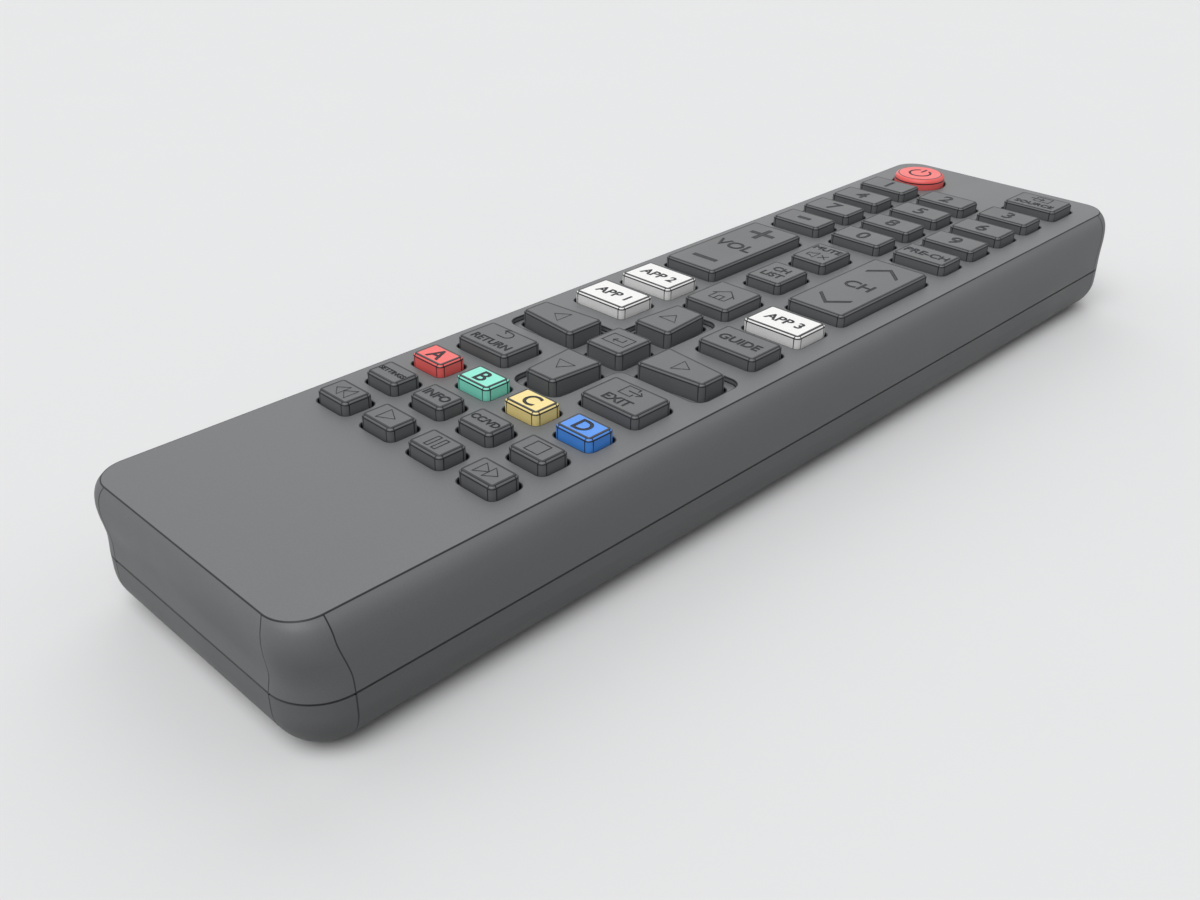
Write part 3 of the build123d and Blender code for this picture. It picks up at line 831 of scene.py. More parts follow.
@dataclass(frozen=True)
class CellJacket(Finish):
    """Printed film round the cells: a dark body with a pale band at one end, and bare steel ends."""

    name: str = "cell_jacket"
    colour: Colour = (0.02, 0.07, 0.2)
    band: Colour = (0.75, 0.76, 0.74)
    band_edge: Point = (0.76, 0.765)
    steel: Colour = (0.6, 0.6, 0.58)
    steel_edge: Point = (0.955, 0.958)
    near: float = 0.0
    far: float = 0.0
    between: float = 0.1 * MM
    scuff: float = 1.2 * MM
    scuff_colour: Colour = (0.3, 0.3, 0.3)
    scuff_range: Point = (0.55, 0.75)
    scuff_share: float = 0.25
    scuff_depth: float = 0.006 * MM
    roughness: Point = (0.22, 0.38)
    metallic: float = 0.35

    def lay(self, graph: Graph) -> None:
        """Lay out the print along each cell, from its flat end to its other one, and scuffs over it.

        Args:
            graph: the new material's node tree.
        """
        axes = graph.axes()
        along = graph.fit(axes["Y"], (self.near, self.far))
        side = graph.fit(axes["X"], (-self.between, self.between))
        share = graph.mix(side, graph.fit(along, UNIT, FLIPPED), along, Mixed.VALUES)
        printed = graph.mix(graph.fit(share, self.band_edge), self.colour, self.band)
        ended = graph.mix(graph.fit(share, self.steel_edge), printed, self.steel)
        scuffs = graph.noise(self.scuff, detail=5.0)
        scuffed = graph.fit(scuffs, self.scuff_range, (0.0, self.scuff_share))
        graph.paint(graph.mix(scuffed, ended, self.scuff_colour))
        graph.dull(scuffs, self.roughness)
        graph.relief(scuffs, self.scuff_depth)
        graph.set(Metallic=self.metallic)


class Tint(Enum):
    """The colours that the keys are moulded in, each the name of its finish and of the record's slot."""

    GREY = "key_plastic"
    RED = "red_key"
    GREEN = "green_key"
    YELLOW = "yellow_key"
    BLUE = "blue_key"
    WHITE = "white_key"


@dataclass
class Finishes:
    """Every finish of the remote, made once."""

    case: MouldedPlastic = MouldedPlastic("case_plastic", (0.162, 0.167, 0.172))
    legend_line: Ink = Ink("legend_line", (0.012, 0.014, 0.02))
    legend_fill: Ink = Ink("legend_fill", (0.075, 0.08, 0.088))
    keys: dict[Tint, MouldedPlastic] = field(
        default_factory=lambda: {
            Tint.GREY: MouldedPlastic(Tint.GREY.value, (0.13, 0.134, 0.138), grain_depth=0.003 * MM),
            Tint.RED: KeyPlastic(Tint.RED.value, (0.91, 0.14, 0.13)),
            Tint.GREEN: KeyPlastic(Tint.GREEN.value, (0.26, 0.85, 0.67)),
            Tint.YELLOW: KeyPlastic(Tint.YELLOW.value, (0.93, 0.75, 0.3)),
            Tint.BLUE: KeyPlastic(Tint.BLUE.value, (0.07, 0.29, 0.86)),
            Tint.WHITE: KeyPlastic(Tint.WHITE.value, (0.88, 0.88, 0.87), variation=0.02),
        }
    )
    made: dict[str, bpy.types.Material] = field(default_factory=dict)

    def of(self, finish: Finish) -> bpy.types.Material:
        """The material of a finish, built the first time that it is asked for.

        Args:
            finish: the finish.

        Returns:
            Its material.
        """
        if finish.name not in self.made:
            self.made[finish.name] = finish.make()
        return self.made[finish.name]


@dataclass
class KeyCap:
    """One key: a hollow cap with a flange under the plate, a bevelled top and a rib over its dome."""

    node: str
    body: str
    outline: Outline
    bottom: float
    top: float
    tint: Tint = Tint.GREY
    flanged: bool = True
    clearance: float = 0.3 * MM
    wall: float = 1.0 * MM
    roof: float = 1.2 * MM
    bevel: float = 0.3 * MM
    flange_reach: float = 0.8 * MM
    flange_thickness: float = 0.6 * MM
    line_reach: float = 0.15 * MM
    top_line_reach: float = 0.4 * MM
    rib: float = 1.6 * MM
    rib_places: tuple[float, ...] = (0.0,)
    lug_width: float = 2.4 * MM
    slant_share: float = 0.7

    def inside(self) -> list[Row]:
        """Section from the pocket's roof down to the bottom edge and out over the flange.

        Returns:
            Rows for a tower.
        """
        low = self.bottom
        rows = [(-self.wall, self.top - self.roof), (-self.wall, low)]
        if self.flanged:
            rows.append((self.flange_reach, low))
            rows.append((self.flange_reach, low + self.flange_thickness))
            rows.append((0.0, low + self.flange_thickness))
        else:
            rows.append((0.0, low))
        return rows

    def crown(self) -> list[Row]:
        """Section over the wall and the bevel to the flat top, with edge lines beside the bevel.

        Returns:
            Rows for a tower.
        """
        edge, reach = self.top - self.bevel, self.line_reach
        slant = reach * self.slant_share
        return [
            (0.0, edge - reach, 0.0, 1.0),
            (0.0, edge, 1.0, 1.0),
            (-slant, edge + slant, 0.0, 1.0),
            (-self.bevel + slant, self.top - slant, 0.0, 1.0),
            (-self.bevel, self.top, 1.0, 1.0),
            (-self.bevel - self.top_line_reach, self.top),
        ]

    def ribs(self, skin: Skin) -> None:
        """Add the ribs that press the domes, across the pocket's shorter way.

        Args:
            skin: the mesh that they are added to.
        """
        (left, near), (right, far) = extent(self.outline.points(-self.wall))
        x, y, half = (right + left) / 2, (far + near) / 2, self.rib / 2
        for place in self.rib_places:
            low, high = (left, y + place - half), (right, y + place + half)
            if right - left >= far - near:
                low, high = (x - half, near), (x + half, far)
            skin.block((*low, self.bottom), (*high, self.top - self.roof))

    def lugs(self, skin: Skin) -> None:
        """Add the lugs that an unflanged key tilts on.

        Args:
            skin: the mesh that they are added to.
        """
        (left, near), (right, far) = extent(self.outline.points())
        y, half = (far + near) / 2, self.lug_width / 2
        top = self.bottom + self.flange_thickness
        for inner, outer in ((right, right + self.flange_reach), (left - self.flange_reach, left)):
            skin.block((inner, y - half, self.bottom), (outer, y + half, top))

    def build(self, finishes: Finishes) -> bpy.types.Object:
        """Build the cap, dress it and let it stand for its node.

        Args:
            finishes: the finishes of the remote.

        Returns:
            The cap.
        """
        skin = Skin()
        skin.column(self.outline, self.inside() + self.crown())
        self.ribs(skin)
        if not self.flanged:
            self.lugs(skin)
        cap = skin.make(f"cap_{self.node}")
        smooth(cap)
        keep_flat(cap)
        dress(cap, finishes.of(finishes.keys[self.tint]))
        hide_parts(self.node)
        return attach(cap, self.body)


@dataclass
class PowerCap(KeyCap):
    """The round key, whose rim is domed up to a flat top."""

    crown_height: float = 0.8 * MM
    crown_inset: float = 0.65 * MM
    dome_steps: int = 7

    def crown(self) -> list[Row]:
        """Section over the straight wall and the domed rim to the flat top.

        Returns:
            Rows for a tower.
        """
        shoulder, reach = self.top - self.crown_height, self.line_reach
        rise, inset = self.crown_height, self.crown_inset
        radius = (inset**2 + rise**2) / (2 * inset)
        sweep = acos((radius - inset) / radius)
        rows = [(0.0, shoulder - reach), (0.0, shoulder, 1.0)]
        for step in range(1, self.dome_steps):
            angle = sweep * step / self.dome_steps
            rows.append((radius * (cos(angle) - 1), shoulder + radius * sin(angle)))
        rows.append((-inset, self.top, 1.0))
        rows.append((-inset - reach, self.top))
        return rows


@dataclass
class Keypad:
    """All the keys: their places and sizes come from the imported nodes."""

    flange_reach: float = KeyCap.flange_reach
    corner: float = 0.7 * MM
    arrow_inner: float = 6.7 * MM
    side_arrow_outer: float = 4.7 * MM
    upright_arrow_outer: float = 5.3 * MM
    rocker_press: float = 7.0 * MM
    tints: dict[str, Tint] = field(
        default_factory=lambda: {
            "key_red": Tint.RED,
            "key_green": Tint.GREEN,
            "key_yellow": Tint.YELLOW,
            "key_blue": Tint.BLUE,
            "key_power": Tint.RED,
            "key_shortcut_1": Tint.WHITE,
            "key_shortcut_2": Tint.WHITE,
            "key_shortcut_3": Tint.WHITE,
        }
    )
    turns: dict[str, int] = field(
        default_factory=lambda: {"key_right": 0, "key_up": 1, "key_left": 2, "key_down": 3}
    )

    def body_of(self, node: str) -> str:
        """The body that carries a node."""
        groups = frame["record"]["behaviour"]["bodies"]
        return next(body for body, members in groups.items() if node in members)

    def arrow(self, node: str, x: float, y: float, size: Vector) -> Outline:
        """Outline of a direction key, narrower at its outer end.

        Args:
            node: the key's node.
            x: its middle across the remote.
            y: its middle along it.
            size: size of the node's box.

        Returns:
            The outline, at its place.
        """
        turns = self.turns[node]
        upright = turns % 2 == 1
        length = (size.y if upright else size.x) - 2 * self.flange_reach
        outer = self.upright_arrow_outer if upright else self.side_arrow_outer
        half, wide, narrow = length / 2, self.arrow_inner / 2, outer / 2
        corners = [(-half, -wide), (half, -narrow), (half, narrow), (-half, wide)]
        for _ in range(turns):
            corners = [(-across, along) for along, across in corners]
        return RoundedPolygon(tuple((x + along, y + across) for along, across in corners), self.corner)

    def cap(self, node: str) -> KeyCap:
        """The cap that stands for one key's node.

        Args:
            node: the key's node.

        Returns:
            The cap, not yet built.
        """
        low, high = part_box(node)
        size, reach = high - low, 2 * self.flange_reach
        x, y = middle_of(node)
        common = {"node": node, "body": self.body_of(node), "bottom": low.z, "top": high.z}
        tint = self.tints.get(node, Tint.GREY)
        if node == "key_power":
            common["top"] -= Legends.line_height * MM
            return PowerCap(outline=Circle(x, y, size.x / 2 - self.flange_reach), tint=tint, **common)
        if node in self.turns:
            return KeyCap(outline=self.arrow(node, x, y, size), **common)
        if node.startswith("rocker_"):
            outline = RoundedPolygon(rectangle(x, y, size.x - reach, size.y), self.corner)
            places = (-self.rocker_press, 0.0, self.rocker_press)
            return KeyCap(outline=outline, flanged=False, rib_places=places, **common)
        outline = RoundedPolygon(rectangle(x, y, size.x - reach, size.y - reach), self.corner)
        return KeyCap(outline=outline, tint=tint, **common)

    def caps(self) -> list[KeyCap]:
        """The caps of every key and rocker."""
        nodes = sorted(node for node in frame["nodes"] if node.startswith(("key_", "rocker_")))
        return [self.cap(node) for node in nodes]


@dataclass
class UpperShell:
    """Upper shell: swelling sides round a flat face plate with the keys' holes and one recess.

    Each row of profile gives a share of the height, from the plate down to the seam, and how much of the
    bulge of its sides, of the bulge of its ends and of the growth of its corners the case has there.
    """

    node: str = "upper_case"
    plate_thickness: float = 1.5 * MM
    wall: float = 1.6 * MM
    plate_corner: float = 4.2 * MM
    corner_growth: float = 2.0 * MM
    rebate_height: float = 1.2 * MM
    rebate_inset: float = 0.8 * MM
    recess_depth: float = 0.7 * MM
    recess_outer_corner: float = 1.8 * MM
    recess_inner_corner: float = 1.5 * MM
    recess_end_margin: float = 1.2 * MM
    recess_side_margin: float = 0.9 * MM
    hole_bevel: float = 0.08 * MM
    line_reach: float = 0.15 * MM
    faded_line: float = 0.6
    corner_line: float = 0.7
    levels: int = 26
    level_spread: float = 1.35
    corner_steps: int = 14
    window_clearance: float = 0.1 * MM
    window_corner: float = 0.9 * MM
    window_ear: float = 1.5 * MM
    cut_margin: float = 2.0 * MM
    slack: float = 0.01 * MM
    pillar_diameter: float = 3.0 * MM
    pillar_height: float = 2.45 * MM
    pillar_steps: int = 24
    pillar_offset: float = 12.0 * MM
    near_pillar: float = 12.0 * MM
    head_pillar: float = 160.0 * MM
    profile: tuple[Row, ...] = (
        (0.0, 0.0, 0.0, 0.0),
        (0.08, 0.40, 0.48, 0.20),
        (0.18, 0.67, 0.84, 0.38),
        (0.31, 0.82, 1.0, 0.50),
        (0.46, 0.92, 0.91, 0.63),
        (0.61, 0.96, 0.66, 0.73),
        (0.77, 0.99, 0.50, 0.83),
        (1.0, 1.0, 0.75, 1.0),
    )

    def __post_init__(self) -> None:
        """Take the plate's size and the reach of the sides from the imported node."""
        low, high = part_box(self.node)
        places = [vertex.co for vertex in frame["nodes"][self.node].data.vertices]
        (left, near), (right, far) = extent([place for place in places if place.z > high.z - self.slack])
        self.plate_width, self.plate_length = right - left, far - near
        self.side_bulge = (high.x - low.x - self.plate_width) / 2
        self.end_bulge = (high.y - low.y - self.plate_length) / 2
        self.top, self.bottom = high.z, low.z
        self.height = self.top - self.bottom

    def slope(self, row: int, column: int) -> float:
        """Slope of one column of the profile at a row.

        Args:
            row: the row.
            column: the column.

        Returns:
            The slope between the rows before and after it.
        """
        before = self.profile[max(row - 1, 0)]
        after = self.profile[min(row + 1, len(self.profile) - 1)]
        return (after[column] - before[column]) / (after[0] - before[0])

    def value(self, share: float, column: int) -> float:
        """One column of the profile on a smooth curve through its rows.

        Args:
            share: how far down the shell's height it is read, from 0 to 1.
            column: the column.

        Returns:
            The value, at most 1.
        """
        row = 0
        while row < len(self.profile) - 2 and share > self.profile[row + 1][0]:
            row += 1
        upper, lower = self.profile[row], self.profile[row + 1]
        span = lower[0] - upper[0]
        part = (share - upper[0]) / span
        found = upper[column] * (2 * part**3 - 3 * part**2 + 1) + lower[column] * (3 * part**2 - 2 * part**3)
        found += self.slope(row, column) * span * (part**3 - 2 * part**2 + part)
        found += self.slope(row + 1, column) * span * (part**3 - part**2)
        return min(found, 1.0)

    def section(self, share: float) -> RoundedPolygon:
        """Outline of the case at a share of the shell's height.

        Args:
            share: how far down, from 0 at the plate to 1 at the seam.

        Returns:
            The outline of the outer face.
        """
        width = self.plate_width + 2 * self.value(share, 1) * self.side_bulge
        length = self.plate_length + 2 * self.value(share, 2) * self.end_bulge
        corner = self.plate_corner + self.value(share, 3) * self.corner_growth
        return RoundedPolygon(rectangle(0.0, 0.0, width, length), corner, self.corner_steps, self.line_reach)

    def recess(self, caps: dict[str, KeyCap]) -> RoundedPolygon:
        """Plus-shaped outline round the direction keys.

        Args:
            caps: every key by its node's name.

        Returns:
            The outline, in the plane of the plate.
        """
        right, up = caps["key_right"].outline.points(), caps["key_up"].outline.points()
        x = sum(point[0] for point in up) / len(up)
        y = sum(point[1] for point in right) / len(right)
        reach = max(point[0] for point in right) - x + self.recess_end_margin
        length = max(point[1] for point in up) - y + self.recess_end_margin
        arm = Keypad.arrow_inner / 2 + self.recess_side_margin
        corners = [(reach, -arm), (reach, arm), (arm, arm), (arm, length), (-arm, length), (-arm, arm)]
        corners += [(-across, -along) for across, along in corners]
        placed = tuple((x + across, y + along) for across, along in corners)
        return RoundedPolygon(placed, self.recess_outer_corner, inner_radius=self.recess_inner_corner)

    def hole(self, skin: Skin, cap: KeyCap, top: float) -> tuple[list[int], list[int]]:
        """Add one key's hole, with its fine edge, from a height down to the plate's underside.

        Args:
            skin: the mesh that the hole is added to.
            cap: the key whose outline the hole follows.
            top: height of the face that the hole starts from.

        Returns:
            The hole's ring in the top face and its ring in the underside.
        """
        gap, bevel, reach = cap.clearance, self.hole_bevel, self.line_reach
        rows = [
            (gap + bevel + reach, top),
            (gap + bevel, top, 1.0),
            (gap, top - bevel, 1.0),
            (gap, top - bevel - reach, self.faded_line),
            (gap, self.top - self.plate_thickness),
        ]
        rings = skin.tower(cap.outline, rows)
        return rings[0], rings[-1]

    def face_plate(self, skin: Skin, edge: list[int], caps: dict[str, KeyCap]) -> list[list[int]]:
        """Add the plate's top with its holes and the recess.

        Args:
            skin: the mesh that the plate is added to.
            edge: the ring just inside the plate's edge.
            caps: every key by its node's name.

        Returns:
            The holes' rings in the plate's underside.
        """
        sunk = ("key_ok", *Keypad().turns)
        plus = self.recess(caps)
        floor, reach, bevel = self.top - self.recess_depth, self.line_reach, self.hole_bevel
        rows = [
            (bevel + reach, self.top),
            (bevel, self.top, 1.0),
            (0.0, self.top - bevel, 1.0),
            (0.0, self.top - bevel - reach),
            (0.0, floor + reach),
            (0.0, floor, 1.0),
            (-reach, floor),
        ]
        rim = skin.tower(plus, rows)
        upper, lower, under = [], [], []
        for node, cap in caps.items():
            top = floor if node in sunk else self.top
            ring, bottom = self.hole(skin, cap, top)
            (lower if node in sunk else upper).append(ring)
            under.append(bottom)
        skin.cap(edge, upper + [rim[0]])
        skin.cap(rim[-1], lower)
        return under

    def sides(self, skin: Skin) -> tuple[list[int], list[int]]:
        """Add the outer sides from the plate's edge to the seam.

        Args:
            skin: the mesh that they are added to.

        Returns:
            The ring just inside the plate's edge and the ring at the seam.
        """
        plate = self.section(0.0)
        inner = skin.ring(plate, -self.line_reach, self.top)
        last = skin.ring(plate, 0.0, self.top, 1.0)
        skin.bridge(inner, last)
        first = self.line_reach / self.height
        parts = [(level / self.levels) ** self.level_spread for level in range(self.levels + 1)]
        shares = [first + (1 - 2 * first) * part for part in parts] + [1.0]
        for share in shares:
            seam = 1.0 if share == 1.0 else 0.0
            height = self.top - share * self.height
            ring = skin.ring(self.section(share), 0.0, height, seam, self.corner_line)
            skin.bridge(last, ring)
            last = ring
        return inner, last

    def inner_sides(self, skin: Skin, seam: list[int]) -> list[int]:
        """Add the rebate over the tongue and the inner walls.

        Args:
            skin: the mesh that they are added to.
            seam: the outer ring at the seam.

        Returns:
            The ring where the walls meet the plate's underside.
        """
        rebate_top = self.bottom + self.rebate_height
        foot = self.section(1.0)
        last = seam
        for height in (self.bottom, rebate_top):
            ring = skin.ring(foot, -self.rebate_inset, height)
            skin.bridge(last, ring)
            last = ring
        low = (self.top - rebate_top) / self.height
        high = self.plate_thickness / self.height
        for level in range(self.levels + 1):
            share = low + (high - low) * level / self.levels
            ring = skin.ring(self.section(share), -self.wall, self.top - share * self.height)
            skin.bridge(last, ring)
            last = ring
        return last

    def pillars(self, skin: Skin) -> None:
        """Add the three pillars that hold the board down.

        Args:
            skin: the mesh that they are added to.
        """
        near = -self.plate_length / 2
        under = self.top - self.plate_thickness
        places = [(side * self.pillar_offset, near + self.near_pillar) for side in (-1, 1)]
        for x, y in places + [(0.0, near + self.head_pillar)]:
            plan = Circle(x, y, self.pillar_diameter / 2, self.pillar_steps)
            skin.column(plan, [(0.0, under - self.pillar_height), (0.0, under)])

    def cut_window(self, shell: bpy.types.Object) -> None:
        """Cut the opening for the infrared window through the head wall.

        Args:
            shell: the built shell.
        """
        low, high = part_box("infrared_window")
        width = high.x - low.x - 2 * self.window_ear + 2 * self.window_clearance
        height = high.z - low.z + 2 * self.window_clearance
        corners = rectangle(0.0, (low.z + high.z) / 2, width, height)
        skin = Skin()
        rows = [(0.0, -(low.y - self.cut_margin)), (0.0, -(high.y + self.cut_margin))]
        skin.column(RoundedPolygon(corners, self.window_corner, steps=8), rows)
        cutter = skin.make("window_cutter")
        cutter.data.transform(Matrix.Rotation(pi / 2, 4, "X"))
        cut = shell.modifiers.new("window", "BOOLEAN")
        cut.operation, cut.solver, cut.object = "DIFFERENCE", "EXACT", cutter
        result = shell.evaluated_get(bpy.context.evaluated_depsgraph_get())
        shell.data = bpy.data.meshes.new_from_object(result)
        shell.modifiers.clear()
        bpy.data.objects.remove(cutter)

    def build(self, caps: dict[str, KeyCap], finishes: Finishes) -> bpy.types.Object:
        """Build the shell, dress it and let it stand for its node.

        Args:
            caps: every key by its node's name.
            finishes: the finishes of the remote.

        Returns:
            The shell.
        """
        skin = Skin()
        edge, seam = self.sides(skin)
        ceiling = self.inner_sides(skin, seam)
        under = self.face_plate(skin, edge, caps)
        skin.cap(ceiling, under)
        self.pillars(skin)
        shell = skin.make("upper_shell")
        self.cut_window(shell)
        smooth(shell)
        dress(shell, finishes.of(finishes.case))
        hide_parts(self.node)
        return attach(shell, "case")


@dataclass
class KeypadMat:
    """Rubber mat under the keys: a sheet with its holes, and a hollow dome for each press that gives way."""

    node: str = "keypad_mat"
    thickness: float = 0.8 * MM
    corner: float = 2.0 * MM
    dome_width: float = 4.4 * MM
    dome_length: float = 3.4 * MM
    dome_corner: float = 0.3 * MM
    dome_slope: float = 0.364
    rubber: float = 0.5 * MM
    peg_hole: float = 1.05 * MM
    peg_side: float = 15.5 * MM
    peg_places: tuple[float, ...] = (82.5 * MM, 118.4 * MM, 154.7 * MM)
    pillar_hole: float = 2.0 * MM
    hole_steps: tuple[int, int] = (20, 28)
    key_keep: float = 0.25
    rocker_keep: float = 0.45

    def __post_init__(self) -> None:
        """Take the mat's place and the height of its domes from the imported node."""
        self.low, self.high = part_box(self.node)
        self.sheet_top = self.low.z + self.thickness

    def plan(self, x: float, y: float) -> RoundedPolygon:
        """Outline of a dome's foot."""
        return RoundedPolygon(rectangle(x, y, self.dome_width, self.dome_length), self.dome_corner, steps=3)

    def presses(self, cap: KeyCap) -> dict[str, Point]:
        """Where a key presses the mat, by the name of each dome.

        Args:
            cap: the key.

        Returns:
            The middle of each dome under it.
        """
        x, y = middle_of(cap.node)
        if cap.flanged:
            return {f"dome_{cap.node}": (x, y)}
        reach = Keypad.rocker_press
        return {f"dome_{cap.node}_near": (x, y - reach), f"dome_{cap.node}_far": (x, y + reach)}

    def joint_of(self, cap: KeyCap) -> str:
        """The joint that moves a key's body."""
        return next(joint["name"] for joint in frame["joints"] if joint["child"] == cap.body)

    def dome(self, name: str, place: Point, cap: KeyCap, finishes: Finishes) -> None:
        """Build one dome, open below, under a key.

        Args:
            name: the piece's name.
            place: middle of the dome.
            cap: the key over it; not used.
            finishes: the finishes of the remote.
        """
        plan, rise = self.plan(*place), self.high.z - self.sheet_top
        roof = self.high.z - self.rubber
        inset = -self.rubber - self.thickness * self.dome_slope
        skin = Skin()
        deeper = inset - (roof - self.sheet_top) * self.dome_slope
        outer = skin.tower(plan, [(-rise * self.dome_slope, self.high.z), (0.0, self.sheet_top)])
        inner = skin.tower(plan, [(inset, self.sheet_top), (deeper, roof)])
        skin.cap(outer[0])
        skin.bridge(outer[1], inner[0])
        skin.cap(inner[1])
        dome = skin.make(name)
        smooth(dome)
        dress(dome, finishes.of(MatRubber()))
        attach(dome, "case")
        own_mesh(dome)

    def sheet(self, places: list[Point], finishes: Finishes) -> bpy.types.Object:
        """Build the sheet with an opening under each dome and a hole for each peg and pillar.

        Args:
            places: the middle of each dome.
            finishes: the finishes of the remote.

        Returns:
            The sheet.
        """
        low, high, shell = self.low, self.high, UpperShell()
        middle_y, length = (low.y + high.y) / 2, high.y - low.y
        outline = RoundedPolygon(rectangle(0.0, middle_y, high.x - low.x, length), self.corner)
        start = -shell.plate_length / 2
        peg_steps, pillar_steps = self.hole_steps
        holes = [
            Circle(side * self.peg_side, start + place, self.peg_hole, peg_steps)
            for side in (-1, 1)
            for place in self.peg_places
        ]
        holes.append(Circle(0.0, start + shell.head_pillar, self.pillar_hole, pillar_steps))
        skin = Skin()
        flat = [(0.0, self.sheet_top), (0.0, low.z)]
        edges = skin.tower(outline, flat)
        rims = [skin.tower(hole, flat) for hole in holes]
        upper = -self.rubber - self.thickness * self.dome_slope
        for place in places:
            rows = [(upper, self.sheet_top), (-self.rubber, low.z)]
            rims.append(skin.tower(self.plan(*place), rows))
        skin.cap(edges[0], [rim[0] for rim in rims])
        skin.cap(edges[1], [rim[1] for rim in rims])
        sheet = skin.make("mat_sheet")
        smooth(sheet)
        dress(sheet, finishes.of(MatRubber()))
        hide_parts(self.node)
        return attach(sheet, "case")

    def build(self, caps: dict[str, KeyCap], finishes: Finishes) -> None:
        """Build the sheet and every dome.

        Args:
            caps: every key by its node's name.
            finishes: the finishes of the remote.
        """
        places = []
        for cap in caps.values():
            for name, place in self.presses(cap).items():
                self.dome(name, place, cap, finishes)
                places.append(place)
                log.info("%s rides on case and flattens with %s", name, self.joint_of(cap))
        log.info("%s rides on case", self.sheet(places, finishes).name)


THIN = 0.2
BOLD = 0.4


@dataclass(frozen=True)
class Stroke:
    """A line through points about the key's middle. Its points and width are in millimetres."""

    points: tuple[Point, ...]
    closed: bool = False
    width: float = THIN

    def raised(self, y: float) -> "Stroke":
        """The same stroke, further up by y."""
        return replace(self, points=tuple((across, along + y) for across, along in self.points))


@dataclass(frozen=True)
class Bar:
    """A filled shape with a thin dark outline, its corners in millimetres about the key's middle."""

    corners: tuple[Point, ...]


@dataclass(frozen=True)
class Word:
    """A word in filled letters with a thin dark outline, no taller or wider than given, in millimetres."""

    text: str
    height: float
    width: float
    middle: Point = (0.0, 0.0)


Mark = Stroke | Bar | Word


def loop(*points: Point) -> Stroke:
    """A closed line."""
    return Stroke(points, closed=True)


def line(*points: Point) -> Stroke:
    """An open line."""
    return Stroke(points)


def arc(middle: Point, radius: float, start: float, end: float, steps: int = 18) -> tuple[Point, ...]:
    """Points along an arc, with its angles in degrees."""
    turns = [radians(start + (end - start) * step / steps) for step in range(steps + 1)]
    return tuple((middle[0] + radius * cos(turn), middle[1] + radius * sin(turn)) for turn in turns)


class Sign(Enum):
    """Signs drawn with thin lines, in millimetres about their own middles."""

    REWIND = (loop((-1.6, 0), (-0.1, 1.15), (-0.1, -1.15)), loop((-0.1, 0), (1.5, 1.15), (1.5, -1.15)))
    PLAY = (loop((-1.0, 1.25), (1.25, 0), (-1.0, -1.25)),)
    PAUSE = (
        loop((-1.0, 1.15), (-0.35, 1.15), (-0.35, -1.15), (-1.0, -1.15)),
        loop((1.0, 1.15), (0.35, 1.15), (0.35, -1.15), (1.0, -1.15)),
    )
    FORWARD = (loop((1.6, 0), (0.1, 1.15), (0.1, -1.15)), loop((0.1, 0), (-1.5, 1.15), (-1.5, -1.15)))
    STOP = (loop((-1.15, -1.15), (1.15, -1.15), (1.15, 1.15), (-1.15, 1.15)),)
    UP = (loop((-1.45, -0.9), (1.45, -0.9), (0, 1.15)),)
    DOWN = (loop((-1.45, 0.9), (1.45, 0.9), (0, -1.15)),)
    LEFT = (loop((0.9, -1.45), (0.9, 1.45), (-1.15, 0)),)
    RIGHT = (loop((-0.9, -1.45), (-0.9, 1.45), (1.15, 0)),)
    RETURN = (
        line((-1.1, -0.85), *arc((0.2, 0), 0.85, -90, 90, 10), (-1.1, 0.85)),
        line((-0.5, 1.45), (-1.2, 0.85), (-0.5, 0.25)),
    )
    EXIT = (
        line((0.5, 0.5), (0.5, 1.1), (-1.5, 1.1), (-1.5, -1.1), (0.5, -1.1), (0.5, -0.5)),
        line((-0.6, 0), (1.6, 0)),
        line((1.0, 0.55), (1.6, 0), (1.0, -0.55)),
    )
    SOURCE = (
        line((-1.1, 0.45), (-1.1, 1.1), (1.7, 1.1), (1.7, -1.1), (-1.1, -1.1), (-1.1, -0.45)),
        line((-2.0, 0), (0.5, 0)),
        line((-0.1, 0.55), (0.5, 0), (-0.1, -0.55)),
    )
    HOME = (
        line((-2.0, -0.1), (0.0, 1.8), (2.0, -0.1)),
        line((-1.45, 0.3), (-1.45, -1.75), (1.45, -1.75), (1.45, 0.3)),
        line((-0.5, -1.75), (-0.5, -0.4), (0.5, -0.4), (0.5, -1.75)),
    )
    MUTE = (
        loop((-1.7, -0.45), (-1.0, -0.45), (-0.1, -1.2), (-0.1, 1.2), (-1.0, 0.45), (-1.7, 0.45)),
        line((0.6, -0.65), (1.9, 0.65)),
        line((0.6, 0.65), (1.9, -0.65)),
    )
    ENTER = (
        loop((-2.0, -1.3), (2.0, -1.3), (2.0, 1.3), (-2.0, 1.3)),
        line((0.9, 0.65), (0.9, -0.25), (-0.8, -0.25)),
        line((-0.3, 0.25), (-0.8, -0.25), (-0.3, -0.75)),
    )
    POWER = (
        Stroke(arc((0, 0), 1.9, 118, 422, 40), width=BOLD),
        Stroke(((0.0, 0.5), (0.0, 2.3)), width=BOLD),
    )

    def at(self, y: float = 0.0) -> list[Stroke]:
        """The strokes of the sign, with its middle above the key's by y."""
        return [stroke.raised(y) for stroke in self.value]


def plus_sign(y: float, span: float, bar: float) -> Bar:
    """A plus.

    Args:
        y: how far it is above the key's middle.
        span: how wide and tall it is.
        bar: how thick its bars are.

    Returns:
        The plus, as one shape.
    """
    half, thin = span / 2, bar / 2
    quarter = [(half, -thin), (half, thin), (thin, thin), (thin, half), (-thin, half), (-thin, thin)]
    corners = quarter + [(-across, -along) for across, along in quarter]
    return Bar(tuple((across, y + along) for across, along in corners))


